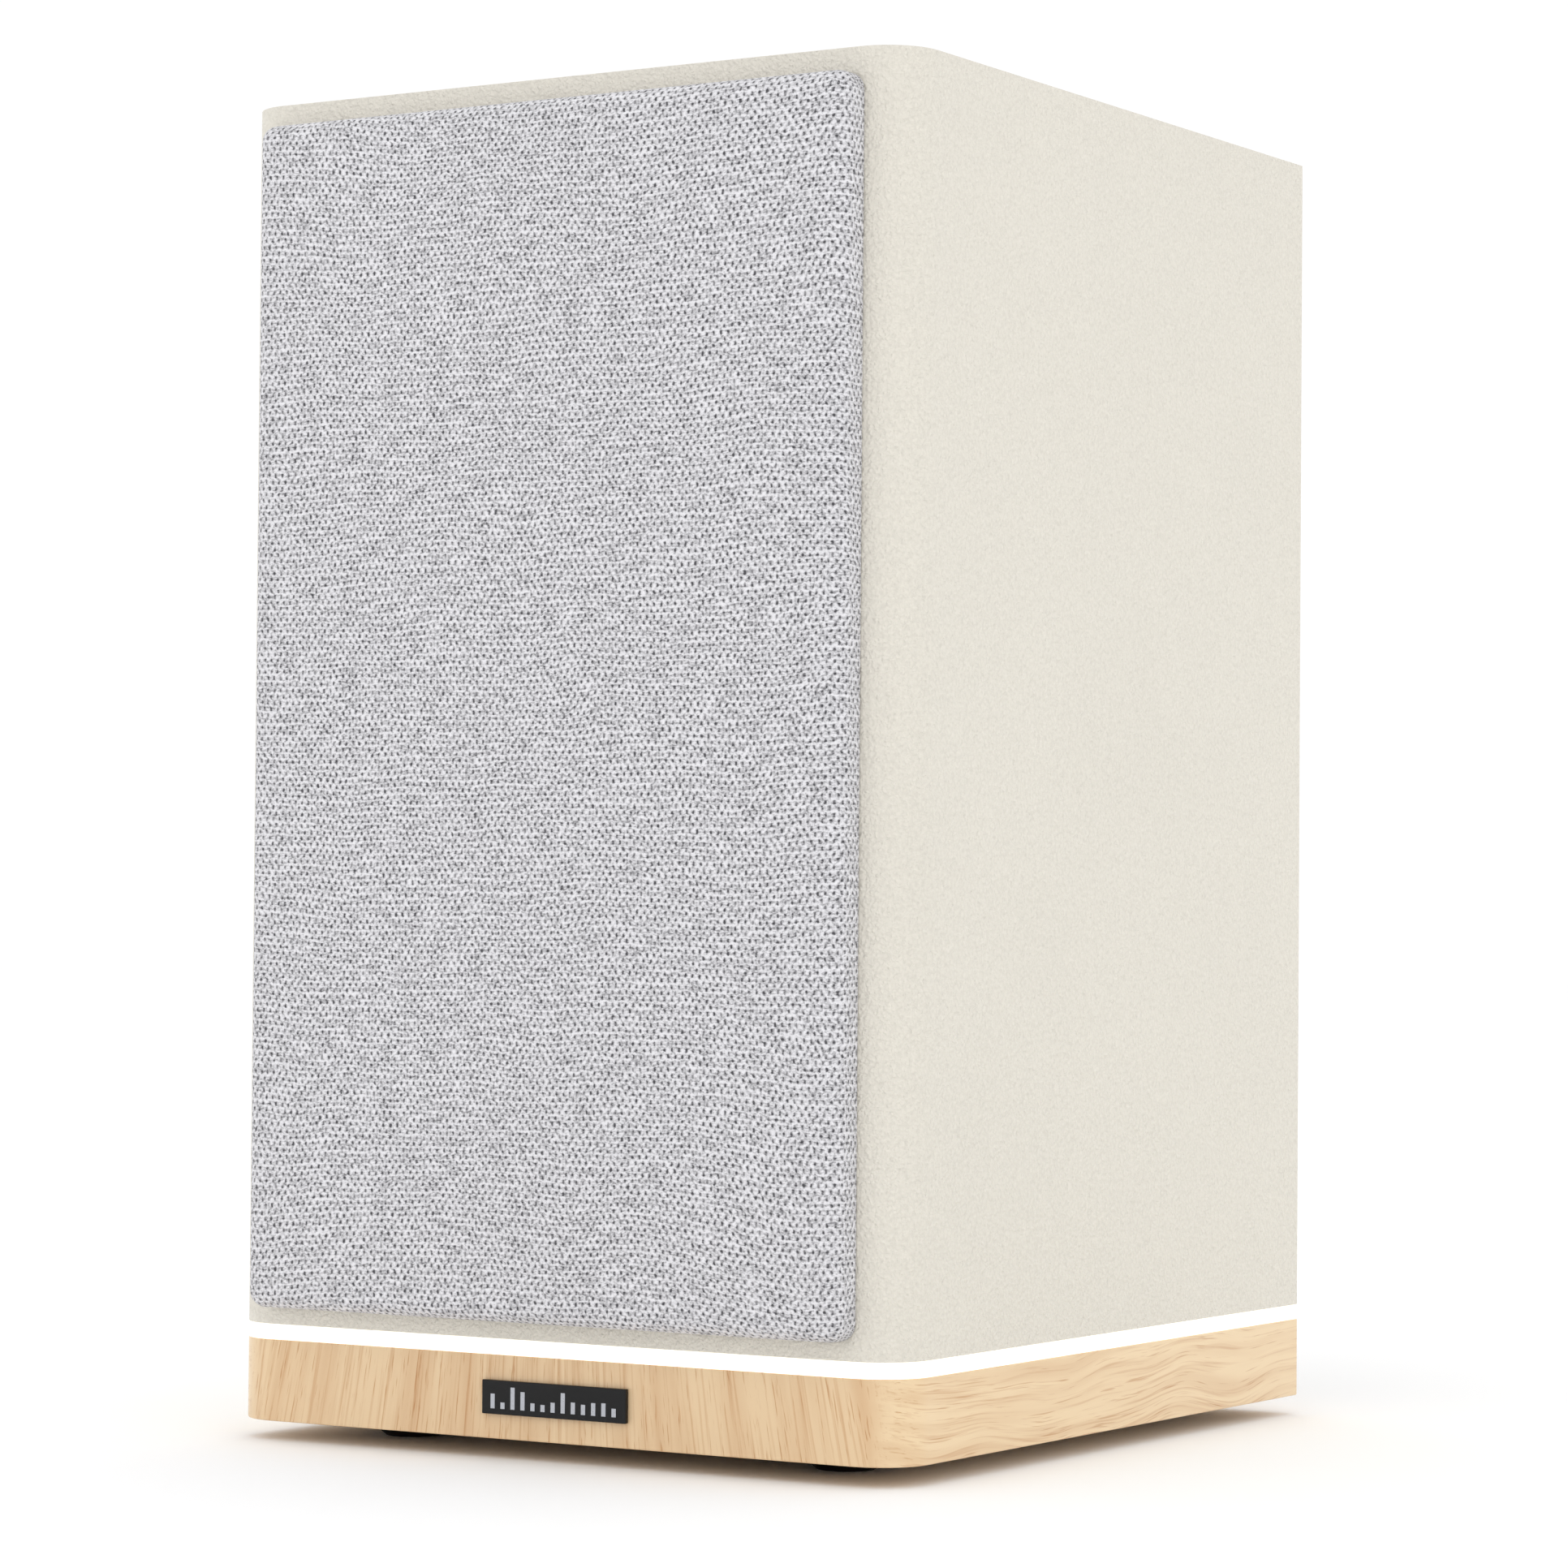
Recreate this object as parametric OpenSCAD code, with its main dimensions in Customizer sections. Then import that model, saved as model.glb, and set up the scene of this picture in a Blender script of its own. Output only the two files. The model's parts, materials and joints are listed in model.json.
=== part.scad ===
// Powered two-way bookshelf speaker with a cloth grille, a lit band and a wood plinth.
// Z is up and Z = 0 is the floor. The front faces -Y. X = 0 is the middle of the cabinet.

/* [Cabinet] */
// Outside width of the wrapped cabinet
body_w = 178; // [165:1:240]
// Outside depth of the wrapped cabinet, without grille and sockets
body_d = 192.5; // [180:0.5:260]
// Height of the wrapped cabinet, without plinth and lit band
cabinet_h = 278; // [270:1:360]
// Thickness of the carcass boards
panel_t = 12; // [9:0.5:16]
// Thickness of the front baffle
baffle_t = 15; // [12:0.5:18]
// Thickness of the rear board
rear_t = 12; // [9:0.5:15]
// Thickness of the vinyl wrap
wrap_t = 0.8; // [0.5:0.1:1.2]
// Radius of the two front upright edges
front_r = 12; // [6:0.5:16]
// Radius of the two rear upright edges
rear_r = 1.5; // [1:0.1:3]
// Thickness of the damping wadding under the top board
wadding_t = 10; // [5:1:14]

/* [Base] */
// Height of the wood plinth
plinth_h = 18.5; // [14:0.5:30]
// Height of the lit band
band_h = 3.5; // [3:0.1:6]
// Width of the light guide, from its outer to its inner edge
guide_w = 7; // [5:0.5:9]
// Room between the light guide and the raised core of the plinth
lamp_room = 3; // [2.5:0.1:5]
// Height of a foot
foot_h = 4.5; // [3:0.5:10]
// Radius of a foot where it meets the plinth
foot_r = 11; // [8:0.5:14]
// Radius of a foot where it meets the floor
foot_tip_r = 7; // [5:0.5:11]
// Distance of a foot's centre from the side of the plinth
foot_side = 31; // [20:1:40]
// Distance of a foot's centre from the front or rear of the plinth
foot_end = 30; // [20:1:45]
// Length of the badge
badge_w = 38; // [20:1:60]
// Height of the badge
badge_h = 7.5; // [5:0.5:12]
// Thickness of the badge
badge_t = 1.2; // [0.8:0.1:2]

/* [Grille] */
// Margin between the grille and the cabinet's side
grille_side = 10.8; // [6:0.1:14]
// Margin between the grille and the cabinet's top
grille_top = 5.6; // [3:0.1:12]
// Margin between the grille and the cabinet's bottom
grille_bottom = 4.2; // [3:0.1:12]
// Thickness of the grille with its cloth
grille_t = 8; // [7.5:0.5:12]
// Thickness of the grille cloth
cloth_t = 0.8; // [0.5:0.1:1]
// Radius of the grille's corners and front edges
grille_r = 3; // [1.5:0.5:4]
// Width of the grille frame's rim and bar
rim_w = 10; // [9.5:0.5:11]
// How far the grille pulls forward off its magnets
grille_pull = 80; // [40:5:150]

/* [Woofer] */
// Height of the woofer's axis above the bottom of the cabinet
woofer_up = 84; // [82:1:110]
// Radius of the woofer's flange
woofer_r = 66.5; // [60:0.5:68]
// Depth of the woofer's basket behind its front face
basket_d = 40; // [36:1:55]
// Radius of the voice coil former's bore
coil_r = 12.7; // [10:0.1:13.5]
// Length of the voice coil winding
coil_len = 12; // [8:1:16]
// Thickness of the ferrite magnet
magnet_t = 14; // [12:1:20]
// Travel of the woofer's cone each way
woofer_stroke = 5; // [2:0.5:5]

/* [Tweeter] */
// Height of the tweeter's axis above the bottom of the cabinet
tweeter_up = 210; // [205:1:225]
// Radius of the tweeter's faceplate
tweeter_r = 46; // [42:0.5:48]
// Radius of the dome
dome_r = 13; // [11:0.5:14]

/* [Bass reflex port] */
// Bore radius of the port
port_r = 19; // [12:0.5:22]
// Length of the port, from the outside of the rear board
port_len = 95; // [50:1:110]
// Height of the port's axis above the bottom of the cabinet
port_up = 222; // [215:1:240]

/* [Amplifier] */
// Width of the amplifier's cover plate
plate_w = 130; // [124:1:145]
// Height of the amplifier's cover plate
plate_h = 165; // [160:1:170]
// Thickness of the amplifier's cover plate
plate_t = 2; // [1.5:0.5:3]
// Height of the plate's middle above the bottom of the cabinet
plate_up = 98.5; // [96:0.5:104]
// Distance from the plate to the circuit board
board_gap = 14.4; // [12:0.2:18]
// Radius of the volume knob
knob_r = 12; // [9:0.5:14]
// How far the volume knob stands out from the plate
knob_out = 16; // [12:0.5:17]
// Radius of a tone knob
tone_r = 7; // [5:0.5:9]
// Radius of a phono socket's shell
rca_r = 4.15; // [4.15:0.05:4.3]
// Length of a phono socket's shell in front of the plate
rca_len = 10; // [9:0.5:12]
// Bore radius of the 3.5 mm socket
aux_r = 1.8; // [1.8:0.05:2]
// Bore radius of a loudspeaker post, for a banana plug
banana_r = 2.05; // [2:0.05:2.2]
// How far a loudspeaker post stands out from the plate
post_out = 18; // [17.5:0.5:22]
// Spacing of the two loudspeaker posts
post_pitch = 19; // [19:0.05:22]

/* [Hidden] */
$fn = 96;
e = 0.01;
fit = 0.05;
air = 0.3;
press = 0.02;

// Heights of the stack and places of the two main faces
band_z = foot_h + plinth_h;
cab_z = band_z + band_h;
top_z = cab_z + cabinet_h;
grille_gap = 0.2;
grille_out = grille_gap + grille_t;
rear_out = plate_t + max(post_out, knob_out);
mid_y = (grille_out - rear_out) / 2;
front_y = mid_y - body_d / 2;
rear_y = mid_y + body_d / 2;
inner_x = body_w / 2 - wrap_t - panel_t;
floor_z = cab_z + wrap_t + panel_t;
ceiling_z = top_z - wrap_t - panel_t;
baffle_y = front_y + wrap_t + baffle_t;
pad_margin = 8;

// Foot and plinth screw places
foot_x = body_w / 2 - foot_side;
foot_y = body_d / 2 - foot_end;
foot_dish_r = 2.5;
foot_dish = 1.2;
badge_x = 2;
screw_x = foot_x - 20;
core_in = guide_w + lamp_room;
plinth_head_r = 4;
plinth_head_h = 2.6;
plinth_shank_r = 2;
plinth_sink = 5;
plinth_bite = 9;
ribbon_t = 0.4;
lamp = [2.8, 1.2];
lamp_step = 20;
lamp_last = 60;
lead_r = 1.5;
light_lead_r = 1.4;
lead_hole_r = 2.2;
lead_hole_x = 46;
lead_hole_y = rear_y - 50;

// Grille
grille_w = body_w - 2 * grille_side;
grille_h = cabinet_h - grille_top - grille_bottom;
grille_z = cab_z + grille_bottom + grille_h / 2;
frame_w = grille_w - 2 * cloth_t;
frame_h = grille_h - 2 * cloth_t;
grille_magnet_r = 4;
grille_magnet_t = 2.5;
baffle_magnet_r = 5;
baffle_magnet_t = 3;
bar_z = (cab_z + woofer_up + woofer_r + cab_z + tweeter_up - tweeter_r) / 2;
magnet_x = frame_w / 2 - rim_w / 2;
magnet_z = frame_h / 2 - rim_w / 2;
magnet_spots = [for (sx = [-1, 1]) for (z = [grille_z - magnet_z, bar_z, grille_z + magnet_z])
    [sx * magnet_x, z]];

// Woofer, measured along its axis from the face of the cabinet, positive to the front
woofer_z = cab_z + woofer_up;
flange_t = 4;
gasket_t = 1;
woofer_hole_r = woofer_r - 8.2;
surround_out = woofer_r - 10;
surround_in = surround_out - 12.5;
surround_t = 0.8;
surround_z = -1.4;
cone_edge_z = surround_z - fit;
cone_edge_r = surround_in - 1.5;
cone_t = 0.8;
former_t = 0.3;
winding_t = 0.8;
gap_air = 0.5;
neck_r = coil_r + former_t + fit;
neck_z = -22;
cap_r = coil_r + 5;
cap_rise = 6;
cap_t = 0.6;
top_plate_t = 6;
top_plate_r = 36;
magnet_r = 40;
magnet_bore_gap = 6;
pole_gap = 0.4;
pole_bore_r = 4;
roll_inset = 3.6;
back_plate_t = 5;
spider_z = -basket_d + 9;
spider_t = 0.5;
spider_r = 39.5;
spider_lip = 4;
spider_rise = 1.2;
spider_waves = 4;
basket_wall_gap = 0.8;
basket_foot_r = 42;
basket_waist_r = 44;
basket_floor_t = 2.5;
basket_windows = 6;
window_turn = 15;
window_in = 38;
window_w = 28;
window_ends = 3.5;
woofer_screw_pcd = woofer_r - 4.2;
screw_shank_r = 1.9;
screw_head_r = 3.5;
screw_head_h = 2.2;
screw_len = 17;
screw_play = 0.3;
magnet_front = -basket_d - top_plate_t;
magnet_back = magnet_front - magnet_t;
plate_mid = -basket_d - top_plate_t / 2;

// Tweeter, measured the same way
tweeter_z = cab_z + tweeter_up;
tweeter_hole_r = 30;
horn_r = dome_r + 3.8;
horn_out = tweeter_r - 10;
neck_back = -7;
dome_base = -6.5;
dome_rise = 5.5;
dome_t = 0.35;
tweeter_plate_t = 3;
tweeter_magnet_t = 7;
tweeter_screw_pcd = tweeter_r - 5;
tweeter_screw_r = 1.4;
tweeter_head_r = 2.8;
tweeter_head_h = 1.8;
tweeter_yoke_t = 3;
horn_depth = 5.2;
horn_wall = 4;
tweeter_roll_r = 1.1;
tweeter_roll_t = 0.3;

// Port
port_z = cab_z + port_up;
port_wall = 2;
port_flange_r = port_r + 7;
port_flange_t = 2;
flare = 5;

// Amplifier plate, drawn as seen from behind: x to the right, y up, z out of the cabinet
plate_z = cab_z + plate_up;
plate_lap = 10;
plate_corner = 4;
plate_screw_r = 1.7;
plate_screw_head = 3.2;
plate_screw_len = 12;
plate_screws_at = [for (sx = [-1, 1]) for (sy = [-1, 0, 1])
    [sx * (plate_w / 2 - plate_lap / 2), sy * (plate_h / 2 - plate_lap / 2)]];
board_t = 1.6;
board_w = 98;
board_low = -26;
board_high = 70;
board_back = -board_gap - board_t;
standoff_in = 5;
standoff_r = 2.8;
sink_at = [-30, 12];
sink = [60, 42, 3];
fin_t = 1.5;
fin_step = 6.5;
fin_h = 18;
core_at = [-30, -22];
core = [28, 26, 24];
winding_lap = 4;
winding = [20, 32, 16];
caps_at = [[12, -8], [32, -8]];
capacitor_r = 8.5;
capacitor_h = 28;
volume_at = [-32, 50];
bass_at = [4, 50];
treble_at = [32, 50];
housing_size = 12;
housing_front = -4;
housing_wall = 2;
bushing_r = 4.5;
bushing_out = 4;
stem_r = 3;
rotor_r = 5;
rotor_t = 3;
spindle_r = 1.9;
spindle_flat = 1.3;
spindle_play = 0.06;
stem_flat = 1.5;
knob_front_t = 3;
volume_push = 0.5;
tone_out = 12;
rca_at = [[-38, 12], [-22, 12]];
rca_pin_r = 1.6;
rca_washer_r = 6.2;
rca_washer_t = 1.6;
rca_pin_deep = 8;
aux_at = [0, 12];
aux_out = 1.5;
aux_barrel_r = 4;
aux_deep = 14;
banana_deep = 13;
button_at = [26, 12];
button_r = 3.5;
button_out = 2.5;
button_travel = 1.5;
posts_at = [[-42, -48], [-42 + post_pitch, -48]];
post_r = 3;
post_base_r = 7.5;
post_collar_r = 4;
post_tail = 10;
grip_r = 1.2;
post_base_t = 4;
cap_out_r = 6.5;
inlet_at = [25, -50];
inlet_w = 46;
inlet_h = 24;
inlet_t = 2;
inlet_deep = 18;
socket_x = -9;
socket_pitch = 8.6;
socket_r = 4.2;
socket_deep = 12;
mains_pin_r = 1.2;
rocker_x = 13;
rocker_w = 10.4;
rocker_r = 8.5;
rocker_pivot = -3.2;
rocker_tilt = 8;
rocker_pin_r = 1.2;
rocker_bay = 14;
rocker_dip = 3.4;
rocker_half = 9;

// ---------- shared shapes ----------

// A flat outline with round front corners (towards -Y) and smaller round rear corners
module plan(w, d, rf, rr) {
    translate([-w / 2, -d / 2 + rf]) square([w, d - rf - rr]);
    translate([-w / 2 + rf, -d / 2]) square([w - 2 * rf, d / 2]);
    translate([-w / 2 + rr, 0]) square([w - 2 * rr, d / 2]);
    for (s = [-1, 1]) {
        translate([s * (w / 2 - rf), -d / 2 + rf]) circle(rf);
        translate([s * (w / 2 - rr), d / 2 - rr]) circle(rr);
    }
}

// The cabinet's own outline, drawn in by a margin on all sides
module body_plan(margin = 0) {
    translate([0, mid_y])
        plan(body_w - 2 * margin, body_d - 2 * margin, max(front_r - margin, 1), max(rear_r - margin, 0.3));
}

module body_slab(z, h, margin = 0) {
    translate([0, 0, z]) linear_extrude(h) body_plan(margin);
}

// The space of the wooden carcass inside the vinyl wrap
module carcass_block() {
    body_slab(cab_z + wrap_t, cabinet_h - 2 * wrap_t, wrap_t);
}

module tube(r_out, r_in, z0, z1) {
    translate([0, 0, z0]) difference() {
        cylinder(h = z1 - z0, r = r_out);
        translate([0, 0, -e]) cylinder(h = z1 - z0 + 2 * e, r = r_in);
    }
}

module round_plate(w, h, t, r) {
    linear_extrude(t) {
        square([w - 2 * r, h], center = true);
        square([w, h - 2 * r], center = true);
        for (x = [-1, 1], y = [-1, 1]) translate([x * (w / 2 - r), y * (h / 2 - r)]) circle(r);
    }
}

// Axis frames: on the front face +z points out to -Y, on the rear face +z points out to +Y
module on_front(z) { translate([0, front_y, z]) rotate([90, 0, 0]) children(); }
module on_rear(z) { translate([0, rear_y, z]) rotate([90, 0, 180]) children(); }
module on_plate(at = [0, 0]) { on_rear(plate_z) translate([at[0], at[1], 0]) children(); }

module at_angles(n, r, start = 45) {
    for (i = [0 : n - 1]) rotate(start + i * 360 / n) translate([r, 0, 0]) children();
}

// A pan head screw with a cross recess; the underside of its head is at z = 0
module pan_screw(head_r, head_h, shank_r, len) {
    difference() {
        union() {
            cylinder(h = head_h, r = head_r, $fn = 48);
            translate([0, 0, -len]) cylinder(h = len + e, r = shank_r, $fn = 48);
        }
        for (a = [0, 90]) rotate(a)
            translate([-head_r * 0.55, -head_r * 0.12, head_h * 0.45])
                cube([head_r * 1.1, head_r * 0.24, head_h]);
    }
}

// ---------- sweeps for the leads ----------

function unit(v) = v / norm(v);
function catmull(p, i, t) =
    let (n = len(p) - 1, a = p[max(i - 1, 0)], b = p[i], c = p[min(i + 1, n)], d = p[min(i + 2, n)])
    0.5 * (2 * b + (c - a) * t + (2 * a - 5 * b + 4 * c - d) * t * t + (3 * b - a - 3 * c + d) * t * t * t);
function smooth(p, k) = concat([for (i = [0 : len(p) - 2]) for (j = [0 : k - 1]) catmull(p, i, j / k)],
    [p[len(p) - 1]]);
function heading(q, i) = unit(q[min(i + 1, len(q) - 1)] - q[max(i - 1, 0)]);
function across(h, last) = unit(last - h * (h * last));
function frames(q, i = 0, last = [0.3, 0.2, 0.93]) =
    i == len(q) ? [] : let (s = across(heading(q, i), last)) concat([s], frames(q, i + 1, s));

module lead(route, r) {
    q = smooth(route, 3);
    sides = frames(q);
    n = 8;
    rings = [for (i = [0 : len(q) - 1]) let (u = sides[i], v = cross(heading(q, i), u))
        for (k = [0 : n - 1]) q[i] + r * (cos(360 * k / n) * u + sin(360 * k / n) * v)];
    last = (len(q) - 1) * n;
    skin = [for (i = [0 : len(q) - 2]) for (k = [0 : n - 1]) let (a = i * n + k, b = i * n + (k + 1) % n)
        each [[a, a + n, b], [b, a + n, b + n]]];
    caps = [[for (k = [0 : n - 1]) k], [for (k = [n - 1 : -1 : 0]) last + k]];
    polyhedron(rings, concat(skin, caps));
}

// ---------- cabinet ----------

module vinyl_wrap() color("#e9e4d8") difference() {
    body_slab(cab_z, cabinet_h);
    carcass_block();
    translate([-inner_x, 0, floor_z]) cube([2 * inner_x, body_d, ceiling_z - floor_z]);
    on_front(woofer_z) cylinder(h = 20, r = woofer_r + air, center = true);
    on_front(tweeter_z) cylinder(h = 20, r = tweeter_r + air, center = true);
    under_cabinet_holes();
}

// Holes through the floor of the cabinet: four screws and the lead of the lit band
module under_cabinet_holes() {
    for (sx = [-1, 1], sy = [-1, 1])
        translate([sx * screw_x, mid_y + sy * foot_y, cab_z - e])
            cylinder(h = wrap_t + plinth_bite + 1, r = plinth_shank_r + fit, $fn = 48);
    translate([lead_hole_x, lead_hole_y, cab_z - e])
        cylinder(h = wrap_t + panel_t + 2 * e, r = lead_hole_r, $fn = 48);
}

module cabinet_sleeve() color("#b08d62") difference() {
    carcass_block();
    translate([-inner_x, front_y - 1, floor_z])
        cube([2 * inner_x, body_d + 2, ceiling_z - floor_z]);
    translate([-body_w, front_y - 1, 0]) cube([2 * body_w, baffle_y - front_y + 1, 2 * top_z]);
    under_cabinet_holes();
}

module front_baffle() color("#a8845a") difference() {
    carcass_block();
    translate([-body_w, baffle_y, 0]) cube([2 * body_w, 2 * body_d, 2 * top_z]);
    on_front(woofer_z) {
        cylinder(h = 60, r = woofer_hole_r, center = true);
        translate([0, 0, -flange_t - gasket_t]) cylinder(h = 20, r = woofer_r + air);
        at_angles(4, woofer_screw_pcd) translate([0, 0, -screw_len])
            cylinder(h = screw_len, r = screw_shank_r + press, $fn = 48);
    }
    on_front(tweeter_z) {
        cylinder(h = 60, r = tweeter_hole_r, center = true);
        translate([0, 0, -flange_t]) cylinder(h = 20, r = tweeter_r + air);
        at_angles(4, tweeter_screw_pcd) translate([0, 0, -screw_len])
            cylinder(h = screw_len, r = tweeter_screw_r + press, $fn = 48);
    }
    for (p = magnet_spots) translate([p[0], front_y, p[1]]) rotate([90, 0, 0])
        translate([0, 0, -wrap_t - baffle_magnet_t]) cylinder(h = 20, r = baffle_magnet_r + fit, $fn = 64);
}

module rear_panel() color("#4a4038") difference() {
    translate([-inner_x, rear_y - rear_t, floor_z])
        cube([2 * inner_x, rear_t, ceiling_z - floor_z]);
    on_rear(port_z) cylinder(h = 4 * rear_t, r = port_r + port_wall, center = true);
    on_plate() {
        translate([0, 0, -2 * rear_t])
            round_plate(plate_w - 2 * plate_lap, plate_h - 2 * plate_lap, 4 * rear_t, plate_corner);
        for (p = plate_screws_at) translate([p[0], p[1], -plate_screw_len])
            cylinder(h = plate_screw_len + 1, r = plate_screw_r + press, $fn = 48);
    }
}

module damping_pad() color("#d9d5cc") translate([0, 0, ceiling_z - wadding_t]) linear_extrude(wadding_t)
    translate([-inner_x + pad_margin, baffle_y + pad_margin])
        square([2 * (inner_x - pad_margin), rear_y - rear_t - baffle_y - 2 * pad_margin]);

// ---------- base ----------

module light_guide() color("#fffaf0") difference() {
    body_slab(band_z, band_h);
    body_slab(band_z - e, band_h + 2 * e, guide_w);
}

module led_strip() color("#e8e6da") {
    difference() {
        body_slab(band_z + 0.3, band_h - 0.6, core_in - ribbon_t);
        body_slab(band_z, band_h, core_in);
    }
    reach = [body_w / 2 - core_in + lamp[1] / 2, body_d / 2 - core_in + lamp[1] / 2];
    translate([0, mid_y, band_z + band_h / 2]) for (a = [-lamp_last : lamp_step : lamp_last], s = [-1, 1]) {
        translate([a, s * reach[1], 0]) cube([lamp[0], lamp[1], band_h - 1.2], center = true);
        translate([s * reach[0], a, 0]) cube([lamp[1], lamp[0], band_h - 1.2], center = true);
    }
}

module plinth() color("#e6cba8") difference() {
    union() {
        body_slab(foot_h, plinth_h);
        body_slab(foot_h, plinth_h + band_h, core_in);
    }
    for (sx = [-1, 1], sy = [-1, 1]) translate([sx * screw_x, mid_y + sy * foot_y, foot_h - e]) {
        cylinder(h = plinth_h + band_h + 1, r = plinth_shank_r + fit, $fn = 48);
        cylinder(h = plinth_sink + e, r = plinth_head_r + air, $fn = 48);
    }
    translate([lead_hole_x - lead_hole_r, lead_hole_y - lead_hole_r, band_z])
        cube([2 * lead_hole_r, body_d, band_h + 1]);
}

module plinth_screws() color("#55575a")
    for (sx = [-1, 1], sy = [-1, 1]) translate([sx * screw_x, mid_y + sy * foot_y, foot_h + plinth_sink])
        mirror([0, 0, 1]) pan_screw(plinth_head_r, plinth_head_h, plinth_shank_r,
            plinth_h + band_h - plinth_sink + wrap_t + plinth_bite);

module feet() color("#241c18")
    for (sx = [-1, 1], sy = [-1, 1]) translate([sx * foot_x, mid_y + sy * foot_y, 0])
        rotate_extrude() polygon([[foot_dish_r, 0], [foot_tip_r - 0.6, 0], [foot_tip_r, 0.5],
            [foot_r - 0.4, foot_h - 1], [foot_r, foot_h - 0.4], [foot_r, foot_h],
            [0, foot_h], [0, foot_dish], [foot_dish_r, foot_dish]]);

module badge() color("#16161a")
    translate([badge_x - badge_w / 2, front_y - badge_t, foot_h + plinth_h / 2 - badge_h / 2])
        cube([badge_w, badge_t, badge_h]);

// ---------- grille ----------

// A slab with round corners and a rounded front edge, its back at z = 0
module soft_slab(w, h, t, r) {
    hull() for (x = [-1, 1], y = [-1, 1]) translate([x * (w / 2 - r), y * (h / 2 - r), 0]) {
        cylinder(h = e, r = r, $fn = 32);
        translate([0, 0, t - r]) sphere(r, $fn = 32);
    }
}

module grille_frame() color("#1f1f21") on_front(grille_z) translate([0, 0, grille_gap]) difference() {
    soft_slab(frame_w, frame_h, grille_t - cloth_t, grille_r);
    grille_windows();
    for (p = magnet_spots) translate([p[0], p[1] - grille_z, -e])
        cylinder(h = grille_magnet_t + e, r = grille_magnet_r + fit, $fn = 48);
}

module grille_windows() {
    win_w = frame_w - 2 * rim_w;
    low = -frame_h / 2 + rim_w;
    high = frame_h / 2 - rim_w;
    bar_low = bar_z - grille_z - rim_w / 2;
    bar_high = bar_z - grille_z + rim_w / 2;
    translate([-win_w / 2, low, -1]) cube([win_w, bar_low - low, grille_t + 2]);
    translate([-win_w / 2, bar_high, -1]) cube([win_w, high - bar_high, grille_t + 2]);
}

module grille_fabric() color("#bbbabe") on_front(grille_z) translate([0, 0, grille_gap]) difference() {
    soft_slab(grille_w, grille_h, grille_t, grille_r + cloth_t);
    translate([0, 0, -1])
        soft_slab(frame_w + 2 * fit, frame_h + 2 * fit, grille_t - cloth_t + 1 + fit, grille_r);
}

module grille_magnets() color("#8f9296")
    for (p = magnet_spots) on_front(p[1]) translate([p[0], 0, grille_gap])
        cylinder(h = grille_magnet_t, r = grille_magnet_r, $fn = 48);

module baffle_magnets() color("#8f9296")
    for (p = magnet_spots) on_front(p[1]) translate([p[0], 0, -wrap_t - baffle_magnet_t])
        cylinder(h = baffle_magnet_t, r = baffle_magnet_r, $fn = 64);

// ---------- woofer ----------

// Height of the cone's front surface at radius r, a gentle curve from neck to edge
function cone_z(r) = let (t = (r - neck_r) / (cone_edge_r - neck_r))
    neck_z + (cone_edge_z - neck_z) * pow(max(t, 0), 0.85);

module woofer_gasket() color("#2b2b2b") on_front(woofer_z) difference() {
    tube(woofer_r, woofer_hole_r, -flange_t - gasket_t, -flange_t);
    woofer_screw_holes(screw_shank_r + screw_play);
}

module woofer_screw_holes(r) {
    at_angles(4, woofer_screw_pcd) cylinder(h = 40, r = r, center = true, $fn = 48);
}

module woofer_basket() color("#26272a") on_front(woofer_z) difference() {
    wall_top = woofer_hole_r - basket_wall_gap;
    roll_out = surround_out - roll_inset;
    bore = coil_r + 3.4;
    ledge_z = spider_z - 1.6;
    ledge_r = spider_r - 3.5;
    rotate_extrude() polygon([
        [woofer_r, 0], [woofer_r, -flange_t], [wall_top, -flange_t], [wall_top, -flange_t - 2],
        [basket_waist_r, spider_z], [basket_foot_r, -basket_d],
        [bore, -basket_d], [bore, -basket_d + basket_floor_t],
        [basket_foot_r - 2.4, -basket_d + basket_floor_t], [basket_foot_r - 1.8, ledge_z],
        [ledge_r, ledge_z], [ledge_r, spider_z], [basket_waist_r - 2.2, spider_z],
        [roll_out, -7], [roll_out, surround_z], [surround_out, surround_z], [surround_out, 0]]);
    woofer_screw_holes(screw_shank_r + screw_play);
    at_angles(basket_windows, window_in, window_turn) translate([0, -window_w / 2, spider_z + window_ends])
        cube([woofer_r, window_w, -spider_z - window_ends - 8.5]);
}

module woofer_surround() color("#1b1b1d") on_front(woofer_z) rotate_extrude() {
    roll_r = (surround_out - roll_inset - surround_in - 0.5) / 2;
    mid = surround_out - roll_inset - roll_r;
    t = surround_t;
    translate([0, surround_z]) {
        difference() {
            translate([mid, 0]) circle(roll_r, $fn = 64);
            translate([mid, 0]) circle(roll_r - t, $fn = 64);
            translate([mid - 20, -20]) square([40, 20]);
        }
        translate([mid + roll_r - t, 0]) square([surround_out - mid - roll_r + t - fit, t]);
        translate([cone_edge_r, 0]) square([mid - roll_r + t - cone_edge_r, t]);
    }
}

module woofer_cone() color("#2d2e31") on_front(woofer_z) rotate_extrude() {
    steps = 10;
    rim = surround_in + 1;
    rs = [for (i = [0 : steps]) neck_r + (cone_edge_r - neck_r) * i / steps];
    polygon(concat([for (r = rs) [r, cone_z(r)]], [[rim, cone_edge_z], [rim, cone_edge_z - cone_t]],
        [for (i = [steps : -1 : 0]) [rs[i], cone_z(rs[i]) - cone_t]]));
}

module dust_cap() color("#222326") on_front(woofer_z) {
    base = cone_z(cap_r) + fit;
    ball = (cap_r * cap_r + cap_rise * cap_rise) / (2 * cap_rise);
    translate([0, 0, base]) dome_shell(ball, cap_rise, cap_t, cap_r);
}

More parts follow.
